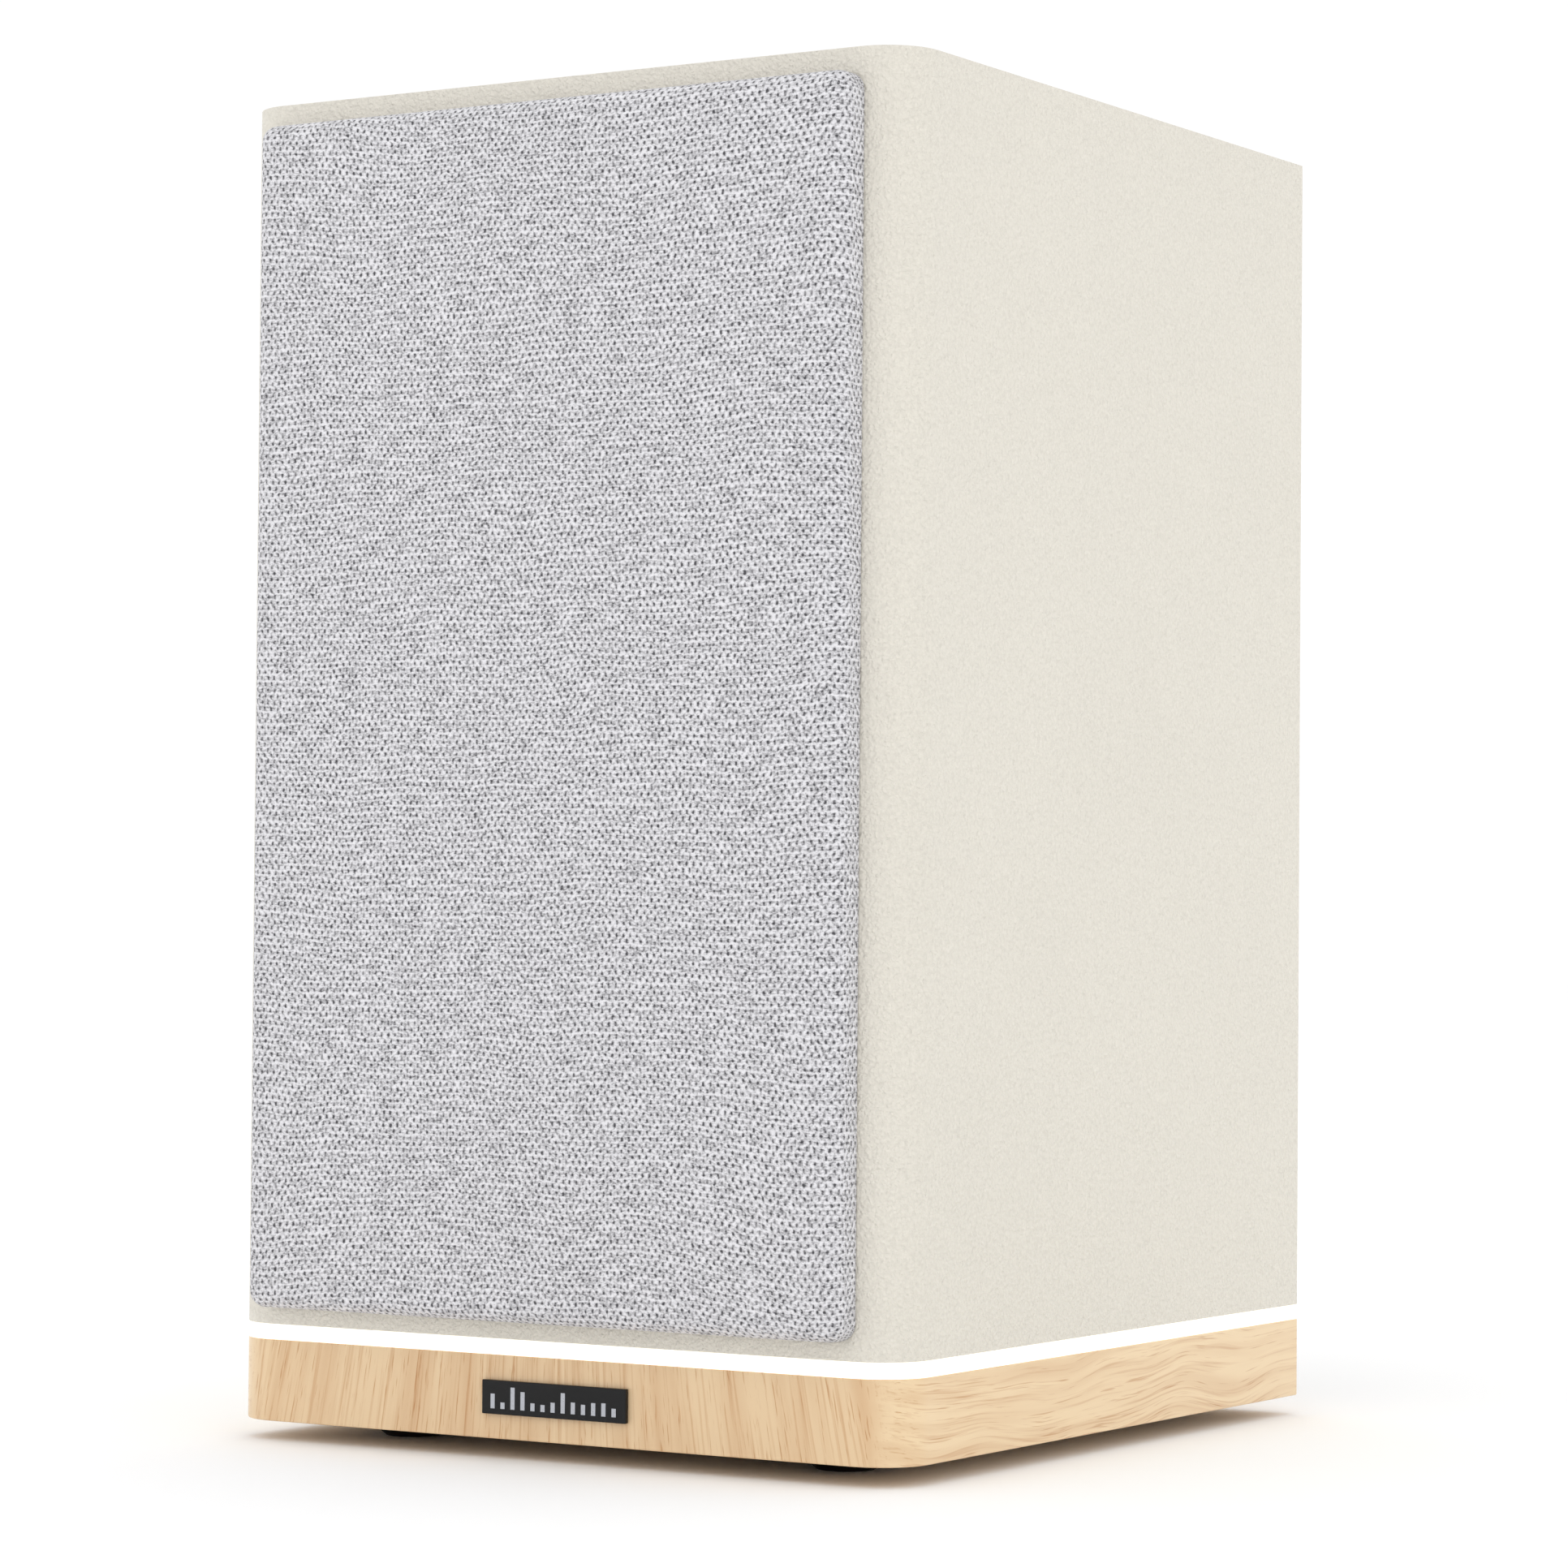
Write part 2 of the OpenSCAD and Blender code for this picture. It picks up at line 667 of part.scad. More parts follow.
// The cap of a hollow ball: rise is its height and half its base's width
module dome_shell(ball, rise, t, half) {
    difference() {
        intersection() {
            translate([0, 0, rise - ball]) sphere(ball);
            cylinder(h = rise + 1, r = half);
        }
        translate([0, 0, rise - ball]) sphere(ball - t);
    }
}

// Rise of the spider's corrugations at radius r
function corrugation(r) =
    spider_rise * sin(360 * spider_waves * (r - neck_r) / (spider_r - spider_lip - neck_r));

module woofer_spider() color("#b58a3c") on_front(woofer_z) rotate_extrude() {
    steps = 48;
    rs = [for (i = [0 : steps]) neck_r + (spider_r - spider_lip - neck_r) * i / steps];
    polygon(concat([for (r = rs) [r, spider_z + spider_t + corrugation(r)]],
        [[spider_r, spider_z + spider_t], [spider_r, spider_z + fit]],
        [for (i = [steps : -1 : 0]) [rs[i], spider_z + fit + corrugation(rs[i])]]));
}

module coil_former() color("#8a5a2b") on_front(woofer_z)
    tube(coil_r + former_t, coil_r, plate_mid - coil_len / 2 - 1, neck_z + 0.5);

module voice_coil() color("#b5622c") on_front(woofer_z)
    tube(coil_r + former_t + winding_t, coil_r + former_t,
        plate_mid - coil_len / 2, plate_mid + coil_len / 2);

module woofer_top_plate() color("#9a9ca0") on_front(woofer_z)
    tube(top_plate_r, coil_r + former_t + winding_t + gap_air, magnet_front, -basket_d);

module woofer_magnet() color("#3a3b3e") on_front(woofer_z)
    tube(magnet_r, coil_r + magnet_bore_gap, magnet_back, magnet_front);

module woofer_yoke() color("#96989c") on_front(woofer_z) difference() {
    union() {
        translate([0, 0, magnet_back - back_plate_t]) cylinder(h = back_plate_t, r = top_plate_r);
        translate([0, 0, magnet_back - e]) cylinder(h = magnet_t + top_plate_t + e, r = coil_r - pole_gap);
    }
    cylinder(h = 300, r = pole_bore_r, center = true, $fn = 48);
}

module woofer_screws() color("#1a1a1c") on_front(woofer_z)
    at_angles(4, woofer_screw_pcd) pan_screw(screw_head_r, screw_head_h, screw_shank_r, screw_len - 1);

// ---------- tweeter ----------

module tweeter_faceplate() color("#222226") on_front(tweeter_z) difference() {
    steps = 6;
    horn = [for (i = [0 : steps]) let (a = 90 * i / steps)
        [horn_r + (horn_out - horn_r) * (1 - cos(a)), -horn_depth * (1 - sin(a))]];
    wall_r = horn_r + horn_wall;
    rotate_extrude() polygon(concat(horn, [[tweeter_r, 0], [tweeter_r, -flange_t], [wall_r, -flange_t],
        [wall_r, neck_back], [horn_r, neck_back]]));
    at_angles(4, tweeter_screw_pcd)
        cylinder(h = 40, r = tweeter_screw_r + screw_play, center = true, $fn = 48);
}

module tweeter_surround() color("#2c2c30") on_front(tweeter_z) rotate_extrude() {
    t = tweeter_roll_t;
    roll = tweeter_roll_r;
    mid = dome_r + roll + 0.2;
    base = neck_back + fit;
    difference() {
        translate([mid, base]) circle(roll, $fn = 48);
        translate([mid, base]) circle(roll - t, $fn = 48);
        translate([mid - 3, base - 4]) square([6, 4]);
    }
    translate([mid + roll - t, base]) square([horn_r - fit - mid - roll + t, t]);
}

module tweeter_dome() color("#37373c") on_front(tweeter_z) translate([0, 0, dome_base])
    dome_shell((dome_r * dome_r + dome_rise * dome_rise) / (2 * dome_rise), dome_rise, dome_t, dome_r);

module tweeter_coil() color("#b5622c") on_front(tweeter_z)
    tube(dome_r - 0.1, dome_r - 0.5, neck_back - tweeter_plate_t - 0.8, dome_base);

module tweeter_top_plate() color("#9a9ca0") on_front(tweeter_z)
    tube(tweeter_hole_r - 1.5, dome_r + 0.4, neck_back - tweeter_plate_t, neck_back);

module tweeter_magnet() color("#3a3b3e") on_front(tweeter_z)
    tube(tweeter_hole_r - 1, dome_r + 4,
        neck_back - tweeter_plate_t - tweeter_magnet_t, neck_back - tweeter_plate_t);

module tweeter_yoke() color("#96989c") on_front(tweeter_z) {
    back = neck_back - tweeter_plate_t - tweeter_magnet_t;
    translate([0, 0, back - tweeter_yoke_t]) cylinder(h = tweeter_yoke_t, r = tweeter_hole_r - 2);
    translate([0, 0, back - e]) cylinder(h = neck_back - back + e, r = dome_r - 0.9);
}

module tweeter_screws() color("#1a1a1c") on_front(tweeter_z)
    at_angles(4, tweeter_screw_pcd) pan_screw(tweeter_head_r, tweeter_head_h, tweeter_screw_r, screw_len - 2);

// ---------- leads inside the cabinet ----------

board_inner_y = rear_y + board_back;
board_end_y = board_inner_y - air;
woofer_end = [44, front_y + basket_d - 4, woofer_z];
tweeter_end = [24, front_y + 20 + 0.6, tweeter_z];
module woofer_lead() color("#b3302a") lead([woofer_end, woofer_end + [8, 1, 0],
    [57, front_y + 60, woofer_z + 6],
    [56, front_y + 88, plate_z + 4], [48, board_inner_y - 38, plate_z + 22],
    [40, board_inner_y - 12, plate_z + 24], [40, board_end_y, plate_z + 24]], lead_r);
module tweeter_lead() color("#2e5fa8") lead([tweeter_end, tweeter_end + [0, 8, 0],
    [38, front_y + 52, tweeter_z - 16], [42, front_y + 78, tweeter_z - 60],
    [42, board_inner_y - 36, plate_z + 66], [40, board_inner_y - 12, plate_z + 62],
    [40, board_end_y, plate_z + 62]], lead_r);
module light_lead() color("#3b3d40") lead([[lead_hole_x, board_end_y, plate_z - 14],
    [lead_hole_x, board_inner_y - 9, plate_z - 15], [lead_hole_x, lead_hole_y + 2, plate_z - 34],
    [lead_hole_x, lead_hole_y, floor_z + 12], [lead_hole_x, lead_hole_y, cab_z + 4],
    [lead_hole_x, lead_hole_y + 3, band_z + 1.9], [lead_hole_x, lead_hole_y + 20, band_z + 1.6],
    [lead_hole_x, rear_y - core_in - air, band_z + 1.6]], light_lead_r);

// ---------- port ----------

module port_tube() color("#2a2a2c") on_rear(port_z) {
    out = port_flange_t;
    arc = [for (i = [0 : 8]) let (a = 90 * i / 8)
        [port_r + flare * (1 - cos(a)), out - flare + flare * sin(a)]];
    rotate_extrude() polygon(concat([[port_r, -port_len]], arc, [[port_flange_r, out], [port_flange_r, 0],
        [port_r + port_wall - fit, 0], [port_r + port_wall - fit, -port_len]]));
}

// ---------- amplifier ----------

module amp_plate() color("#1d1d1f") on_plate() difference() {
    round_plate(plate_w, plate_h, plate_t, plate_corner);
    for (p = plate_screws_at) hole(p, plate_screw_r + 0.3);
    hole(volume_at, bushing_r + 0.1);
    for (p = [bass_at, treble_at]) hole(p, bushing_r + 0.1);
    for (p = rca_at) hole(p, rca_r + 0.1);
    hole(aux_at, aux_barrel_r + 0.1);
    hole(button_at, button_r + air);
    for (p = posts_at) hole(p, post_collar_r + 0.1);
    translate([inlet_at[0], inlet_at[1], -1])
        translate([-inlet_w / 2 + 3, -inlet_h / 2 + 1.5]) cube([inlet_w - 6, inlet_h - 3, plate_t + 2]);
}

module hole(at, r) {
    translate([at[0], at[1], -1]) cylinder(h = plate_t + 2, r = r, $fn = 64);
}

module amp_screws() color("#1a1a1c") on_plate() translate([0, 0, plate_t])
    for (p = plate_screws_at) translate([p[0], p[1], 0])
        pan_screw(plate_screw_head, 2, plate_screw_r, plate_t + plate_screw_len - 1);

module amp_board() color("#1f5a3a") on_plate() difference() {
    translate([-board_w / 2, board_low, board_back]) cube([board_w, board_high - board_low, board_t]);
    for (p = standoffs_at) translate([p[0], p[1], board_back - 1])
        cylinder(h = board_t + 2, r = 1.5, $fn = 32);
}

standoffs_at = [for (x = [-1, 1], y = [board_low + standoff_in, board_high - standoff_in])
    [x * (board_w / 2 - standoff_in), y]];
module standoffs() color("#c9a94e") on_plate()
    for (p = standoffs_at) translate([p[0], p[1], -board_gap])
        cylinder(h = board_gap, r = standoff_r, $fn = 48);

module heatsink() color("#a9abad") on_plate() translate([sink_at[0], sink_at[1], board_back - sink[2]]) {
    cube(sink);
    for (x = [0 : fin_step : sink[0] - fin_t]) translate([x, 0, -fin_h]) cube([fin_t, sink[1], fin_h + e]);
}

module transformer() color("#3c3833") on_plate() translate([core_at[0], core_at[1], board_back - core[2]]) {
    cube(core);
    translate([(core[0] - winding[0]) / 2, (core[1] - winding[1]) / 2, winding_lap]) cube(winding);
}

module capacitors() color("#22324a") on_plate()
    for (p = caps_at) translate([p[0], p[1], board_back - capacitor_h])
        cylinder(h = capacitor_h, r = capacitor_r, $fn = 64);

module mains_inlet() color("#151517") on_plate(inlet_at) difference() {
    union() {
        translate([0, 0, plate_t]) round_plate(inlet_w, inlet_h, inlet_t, 2);
        translate([-inlet_w / 2 + 3.2, -inlet_h / 2 + 1.7, plate_t - inlet_deep])
            cube([inlet_w - 6.4, inlet_h - 3.4, inlet_deep + e]);
    }
    difference() {
        translate([socket_x, 0, plate_t + inlet_t - socket_deep]) socket_hollow();
        for (s = [-1, 1]) translate([socket_x + s * socket_pitch / 2, 0, 0])
            translate([0, 0, plate_t + inlet_t - socket_deep - 1])
                cylinder(h = 10, r = mains_pin_r, $fn = 32);
    }
    translate([rocker_x - rocker_w / 2 - air, -rocker_r - air, plate_t + inlet_t - rocker_bay])
        cube([rocker_w + 2 * air, 2 * rocker_r + 2 * air, rocker_bay + 1]);
    translate([rocker_x - rocker_w / 2 - 1.4, 0, plate_t + inlet_t + rocker_pivot]) rotate([0, 90, 0])
        cylinder(h = rocker_w + 2.8, r = rocker_pin_r + fit, $fn = 48);
}

module socket_hollow() {
    translate([-socket_pitch / 2, -socket_r, 0]) cube([socket_pitch, 2 * socket_r, socket_deep + 1]);
    for (s = [-1, 1]) translate([s * socket_pitch / 2, 0, 0]) cylinder(h = socket_deep + 1, r = socket_r);
}

// The rocker is a drum segment with a shallow V across its face, drawn at rest
module power_rocker() color("#0f0f10") on_plate(inlet_at) {
    ridge = rocker_dip + rocker_half * tan(rocker_tilt);
    translate([rocker_x, 0, plate_t + inlet_t + rocker_pivot]) rotate([-rocker_tilt, 0, 0]) union() {
        intersection() {
            rotate([0, 90, 0]) cylinder(h = rocker_w, r = rocker_r, center = true);
            rotate([90, 0, 90]) linear_extrude(rocker_w + 1, center = true)
                polygon([[-rocker_half, -2], [rocker_half, -2], [rocker_half, ridge], [0, rocker_dip],
                    [-rocker_half, ridge]]);
        }
        rotate([0, 90, 0]) cylinder(h = rocker_w + 2.4, r = rocker_pin_r, center = true, $fn = 48);
    }
}

module rca_jacks() color("#c9c9cc") for (p = rca_at) on_plate(p) difference() {
    union() {
        translate([0, 0, -board_gap]) cylinder(h = board_gap + plate_t + rca_len, r = rca_r);
        translate([-5, -6, -board_gap]) cube([10, 12, board_gap - 0.2]);
        translate([0, 0, plate_t]) cylinder(h = rca_washer_t, r = rca_washer_r);
    }
    translate([0, 0, plate_t + rca_len - rca_pin_deep])
        cylinder(h = rca_pin_deep + 1, r = rca_pin_r, $fn = 48);
}

module aux_jack() color("#18181a") on_plate(aux_at) difference() {
    union() {
        translate([0, 0, -board_gap]) cylinder(h = board_gap + plate_t + aux_out, r = aux_barrel_r);
        translate([-4.5, -6, -board_gap]) cube([9, 12, board_gap - 0.2]);
    }
    translate([0, 0, plate_t + aux_out - aux_deep]) cylinder(h = aux_deep + 1, r = aux_r, $fn = 64);
}

module binding_posts() color("#caa64a") for (p = posts_at) on_plate(p) difference() {
    union() {
        translate([0, 0, -post_tail]) cylinder(h = post_tail + plate_t + post_out, r = post_r);
        translate([0, 0, -2]) cylinder(h = plate_t + 2, r = post_collar_r);
        translate([0, 0, plate_t]) cylinder(h = post_base_t, r = post_base_r);
        translate([0, 0, -4]) cylinder(h = 4, r = post_base_r - 2, $fn = 6);
    }
    translate([0, 0, plate_t + post_out - banana_deep]) cylinder(h = banana_deep + 1, r = banana_r, $fn = 64);
}

module post_cap(at) {
    low = plate_t + post_base_t + air;
    long = post_out - post_base_t - air - 0.5;
    on_plate(at) translate([0, 0, low]) difference() {
        cylinder(h = long, r = cap_out_r);
        translate([0, 0, -1]) cylinder(h = long + 2, r = post_r + fit);
        for (a = [0 : 30 : 330]) rotate(a) translate([cap_out_r + 0.6, 0, 2])
            cylinder(h = long - 3, r = grip_r, $fn = 24);
    }
}
module red_post_cap() color("#b3202a") post_cap(posts_at[1]);
module black_post_cap() color("#1b1b1d") post_cap(posts_at[0]);

// Potted housings of the volume encoder and the two tone controls, all of one size
module control_housings() color("#4c5a66")
    for (p = [volume_at, bass_at, treble_at]) on_plate(p) difference() {
    union() {
        translate([-housing_size / 2, -housing_size / 2, -board_gap])
            cube([housing_size, housing_size, board_gap + housing_front]);
        translate([0, 0, housing_front - e])
            cylinder(h = -housing_front + plate_t + bushing_out, r = bushing_r);
    }
    translate([0, 0, -board_gap + 1]) cylinder(h = 60, r = stem_r + fit, $fn = 64);
    translate([0, 0, housing_front - housing_wall - rotor_t - 2 * air])
        cylinder(h = rotor_t + 2 * air, r = rotor_r + fit, $fn = 64);
}

module encoder_rotor() color("#d8d2c2") on_plate(volume_at) difference() {
    translate([0, 0, housing_front - housing_wall - rotor_t - air])
        cylinder(h = rotor_t, r = rotor_r, $fn = 64);
    // A flat-sided bore, so that the shaft slides in the rotor and turns with it
    translate([0, 0, -30]) linear_extrude(60)
        flatted_disc(spindle_r + spindle_play, spindle_flat + spindle_play);
}

module flatted_disc(r, flat) {
    intersection() {
        circle(r, $fn = 64);
        translate([-r - 1, -r - 1]) square([2 * r + 2, r + 1 + flat]);
    }
}

module volume_shaft() color("#b9bbbe") on_plate(volume_at) {
    tip = plate_t + knob_out - knob_front_t;
    low = housing_front - housing_wall;
    neck = plate_t + bushing_out;
    translate([0, 0, low + volume_push + 0.3]) cylinder(h = neck - low - volume_push, r = stem_r, $fn = 64);
    translate([0, 0, neck + e]) linear_extrude(tip - neck) flatted_disc(stem_r, stem_flat);
    translate([0, 0, -board_gap + 1 + volume_push + 0.4])
        linear_extrude(low + board_gap) flatted_disc(spindle_r, spindle_flat);
}

module volume_knob() color("#8d9094") on_plate(volume_at) difference() {
    base = plate_t + bushing_out + 1.2;
    long = plate_t + knob_out - base;
    union() {
        translate([0, 0, base - 4]) cylinder(h = long + 3.2, r = knob_r);
        translate([0, 0, base - 4]) cylinder(h = long + 4, r = knob_r - 0.8);
    }
    translate([0, 0, base - 5]) cylinder(h = 5, r = bushing_r + 1.5);
    translate([0, 0, base - 1]) linear_extrude(long - knob_front_t + 1.2)
        flatted_disc(stem_r + press, stem_flat + press);
}

module tone_knob(at) {
    base = plate_t + bushing_out + 0.5;
    top = plate_t + tone_out;
    on_plate(at) {
        translate([0, 0, base]) difference() {
            cylinder(h = top - base, r = tone_r);
            translate([-0.5, tone_r - 2, top - base - 0.6]) cube([1, 3, 1]);
        }
        translate([0, 0, housing_front - 6]) cylinder(h = base - housing_front + 6 + e, r = stem_r, $fn = 64);
    }
}
module bass_knob() color("#8d9094") tone_knob(bass_at);
module treble_knob() color("#8d9094") tone_knob(treble_at);

module light_button() color("#e6e6e2") on_plate(button_at) {
    translate([0, 0, -3]) cylinder(h = 3 + plate_t + button_out, r = button_r);
    translate([0, 0, -4.2]) cylinder(h = 4.2 - air - 1, r = button_r + 1.2);
    translate([0, 0, -board_gap + button_travel + 0.4])
        cylinder(h = board_gap - button_travel - 3.4, r = 1.5, $fn = 48);
}

vinyl_wrap();
cabinet_sleeve();
front_baffle();
rear_panel();
damping_pad();
light_guide();
led_strip();
light_lead();
plinth();
plinth_screws();
feet();
badge();
grille_frame();
grille_fabric();
grille_magnets();
baffle_magnets();
woofer_gasket();
woofer_basket();
woofer_surround();
woofer_cone();
dust_cap();
woofer_spider();
coil_former();
voice_coil();
woofer_top_plate();
woofer_magnet();
woofer_yoke();
woofer_screws();
woofer_lead();
tweeter_faceplate();
tweeter_surround();
tweeter_dome();
tweeter_coil();
tweeter_top_plate();
tweeter_magnet();
tweeter_yoke();
tweeter_screws();
tweeter_lead();
port_tube();
amp_plate();
amp_screws();
amp_board();
standoffs();
heatsink();
transformer();
capacitors();
mains_inlet();
power_rocker();
rca_jacks();
aux_jack();
binding_posts();
red_post_cap();
black_post_cap();
control_housings();
encoder_rotor();
volume_shaft();
volume_knob();
bass_knob();
treble_knob();
light_button();
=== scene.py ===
import json
import math

import bmesh
import bpy
from mathutils import Matrix, Vector, noise
from mathutils.bvhtree import BVHTree
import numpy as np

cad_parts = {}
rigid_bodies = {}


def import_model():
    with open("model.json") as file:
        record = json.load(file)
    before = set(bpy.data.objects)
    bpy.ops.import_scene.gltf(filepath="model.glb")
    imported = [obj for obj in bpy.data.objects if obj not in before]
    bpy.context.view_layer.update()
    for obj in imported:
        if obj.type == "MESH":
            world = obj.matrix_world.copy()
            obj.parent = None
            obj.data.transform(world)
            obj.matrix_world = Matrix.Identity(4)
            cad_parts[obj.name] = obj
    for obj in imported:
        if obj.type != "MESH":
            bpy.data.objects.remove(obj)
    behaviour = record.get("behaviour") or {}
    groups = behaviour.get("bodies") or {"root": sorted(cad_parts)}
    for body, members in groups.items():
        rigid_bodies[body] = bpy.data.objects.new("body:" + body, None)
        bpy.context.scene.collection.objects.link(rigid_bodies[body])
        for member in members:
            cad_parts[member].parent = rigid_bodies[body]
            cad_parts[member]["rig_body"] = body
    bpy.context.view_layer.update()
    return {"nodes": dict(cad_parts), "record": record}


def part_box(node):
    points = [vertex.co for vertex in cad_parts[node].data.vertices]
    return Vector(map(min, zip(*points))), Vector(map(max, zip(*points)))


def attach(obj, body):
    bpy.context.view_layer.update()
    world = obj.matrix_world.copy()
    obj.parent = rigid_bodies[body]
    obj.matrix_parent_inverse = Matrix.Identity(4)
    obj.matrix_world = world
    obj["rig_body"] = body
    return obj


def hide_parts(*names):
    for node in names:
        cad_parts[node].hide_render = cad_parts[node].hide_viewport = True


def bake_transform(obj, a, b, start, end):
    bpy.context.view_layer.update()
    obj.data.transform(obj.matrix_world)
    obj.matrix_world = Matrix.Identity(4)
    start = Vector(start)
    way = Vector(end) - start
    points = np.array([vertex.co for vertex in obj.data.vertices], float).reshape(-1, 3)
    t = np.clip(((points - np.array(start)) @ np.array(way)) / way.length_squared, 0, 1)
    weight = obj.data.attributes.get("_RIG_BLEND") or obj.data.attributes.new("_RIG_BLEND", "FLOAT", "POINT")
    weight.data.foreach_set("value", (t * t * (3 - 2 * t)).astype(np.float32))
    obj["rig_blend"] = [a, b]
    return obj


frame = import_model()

bl_info = {
    "name": "Bookshelf speaker",
    "version": (1, 0, 0),
    "blender": (4, 5, 0),
    "location": "3D View > Sidebar > Speaker",
    "description": "Dresses a powered bookshelf speaker: vinyl, cloth grille, lit band, wood and drivers",
    "category": "Object",
}

MM = 0.001


def box(node):
    """The low and the high corner of a CAD node's box."""
    return [Vector(corner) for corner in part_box(node)]


def middle(node):
    """The middle of a node's box."""
    low, high = box(node)
    return (low + high) / 2


GRILLE_LOW, GRILLE_HIGH = box("grille_fabric")
FRONT_Y, REAR_Y = (corner.y for corner in box("vinyl_wrap"))
BODIES = {node: solid["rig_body"] for node, solid in frame["nodes"].items()}
SLOTS = {row["node"]: row["material_slot"] for row in frame["record"]["subparts"]}

# Turns that bring a shape drawn along +Z round to stand out of the front or the rear
TO_FRONT = Matrix.Rotation(math.radians(90), 4, "X")
TO_REAR = Matrix.Rotation(math.radians(180), 4, "Z") @ TO_FRONT
WOOFER = Matrix.Translation((0, FRONT_Y, middle("woofer_basket").z)) @ TO_FRONT
TWEETER = Matrix.Translation((0, FRONT_Y, middle("tweeter_faceplate").z)) @ TO_FRONT
PLATE = Matrix.Translation((0, REAR_Y, middle("amp_plate").z)) @ TO_REAR


def on_plate(x, y, out=0.0):
    """A place on the amplifier's plate, in millimetres from its middle and out from the rear."""
    return PLATE @ Matrix.Translation((x * MM, y * MM, out * MM))


# ---------- sizes and colours ----------


class SpeakerSizes(bpy.types.PropertyGroup):
    pebble: bpy.props.FloatProperty(
        name="Vinyl pebble", description="Width of one pebble of the vinyl's grain", default=0.0009, unit="LENGTH"
    )
    stitch_w: bpy.props.FloatProperty(
        name="Stitch width", description="Distance between pinholes along a row", default=0.00178, unit="LENGTH"
    )
    stitch_h: bpy.props.FloatProperty(
        name="Stitch height", description="Distance between two rows of the cloth", default=0.00134, unit="LENGTH"
    )
    corner_pull: bpy.props.FloatProperty(
        name="Corner pull", description="How far rows are pulled towards each corner", default=0.004, unit="LENGTH"
    )
    cloth_edge: bpy.props.FloatProperty(
        name="Cloth edge", description="Radius of the cloth over the edge", default=0.0038, unit="LENGTH"
    )
    turn_in: bpy.props.FloatProperty(
        name="Turn-in", description="How far the cloth turns in behind the frame", default=0.0032, unit="LENGTH"
    )
    led_pitch: bpy.props.FloatProperty(
        name="LED pitch", description="Distance between the lamps of the band", default=0.0166, unit="LENGTH"
    )
    lead_r: bpy.props.FloatProperty(
        name="Wire radius", description="Radius of one wire of a twisted lead", default=0.00072, unit="LENGTH"
    )


class SpeakerColours(bpy.types.PropertyGroup):
    vinyl: bpy.props.StringProperty(name="Vinyl", description="Colour of the vinyl wrap", default="#f0ebdf")
    cloth_light: bpy.props.StringProperty(
        name="Light yarn", description="Colour of the light yarn", default="#f0eff3"
    )
    cloth_dark: bpy.props.StringProperty(name="Dark yarn", description="Colour of the dark yarn", default="#454449")
    wood: bpy.props.StringProperty(name="Wood", description="Colour of the pale wood", default="#edd3ab")
    wood_line: bpy.props.StringProperty(
        name="Grain line", description="Colour of the wood's late growth", default="#bf8a55"
    )
    band: bpy.props.StringProperty(name="Light", description="Colour of the lit band", default="#fffceb")
    glow: bpy.props.FloatProperty(name="Glow", description="Strength of the lit band", default=0.6, min=0.0)


# ---------- building blocks ----------


def linear(hex_colour):
    """An sRGB hex colour as linear RGBA."""
    parts = [int(hex_colour[i : i + 2], 16) / 255 for i in (1, 3, 5)]
    return tuple(c / 12.92 if c <= 0.04045 else ((c + 0.055) / 1.055) ** 2.4 for c in parts) + (1.0,)


def add(tree, kind, *inputs, **named):
    """
    Adds a node; a kind that names no family is a shader node. Plain values fill its inputs in order, and a dict fills
    them by number or name. A capitalised keyword fills the input of that name, and any other is a setting. A socket
    or a whole node is linked.
    """
    family = "" if kind.startswith(("Geometry", "Function", "NodeGroup")) else "ShaderNode"
    node = tree.nodes.new(family + kind)
    filled = dict(inputs[0]) if inputs and isinstance(inputs[0], dict) else dict(enumerate(inputs))
    for key, value in named.items():
        if key[0].isupper():
            filled[key.replace("_", " ")] = value
        else:
            setattr(node, key, value)
    for key, value in filled.items():
        if isinstance(value, bpy.types.Node):
            value = value.outputs[0]
        if isinstance(value, bpy.types.NodeSocket):
            tree.links.new(value, node.inputs[key])
        else:
            node.inputs[key].default_value = value
    return node


def linked(name, data):
    """A new object of this data, in the scene."""
    obj = bpy.data.objects.new(name, data)
    bpy.context.scene.collection.objects.link(obj)
    return obj


def piece(name, mesh, body, slot, replaces=(), smooth=35):
    """Links a mesh as a finished piece that rides on a body and stands for CAD nodes."""
    obj = linked(name, mesh)
    mesh.shade_smooth()
    if smooth < 180:
        mesh.set_sharp_from_angle(angle=math.radians(smooth))
    mesh.materials.clear()
    mesh.materials.append(finish(slot))
    if body:
        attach(obj, body)
    if replaces:
        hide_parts(*replaces)
    return obj


def mesh_of(bm, turn_out=True):
    """A bmesh as a mesh, with its faces turned outwards."""
    if turn_out:
        bmesh.ops.recalc_face_normals(bm, faces=bm.faces)
    mesh = bpy.data.meshes.new("made")
    bm.to_mesh(mesh)
    bm.free()
    return mesh


def lathe(profile, place=None, steps=96):
    """A closed (radius, height) outline in millimetres, turned about Z and put in place. Radius 0 makes a pole."""
    bm = bmesh.new()
    rings = []
    for r, z in profile:
        angles = [math.tau * i / steps for i in range(1 if r == 0 else steps)]
        rings.append([bm.verts.new((r * MM * math.cos(a), r * MM * math.sin(a), z * MM)) for a in angles])
    for near, far in zip(rings, rings[1:] + rings[:1]):
        for i in range(steps):
            corners = [near[i % len(near)], near[(i + 1) % len(near)], far[(i + 1) % len(far)], far[i % len(far)]]
            corners = list(dict.fromkeys(corners))
            if len(corners) > 2:
                bm.faces.new(corners)
    if place is not None:
        bm.transform(place)
    return mesh_of(bm)


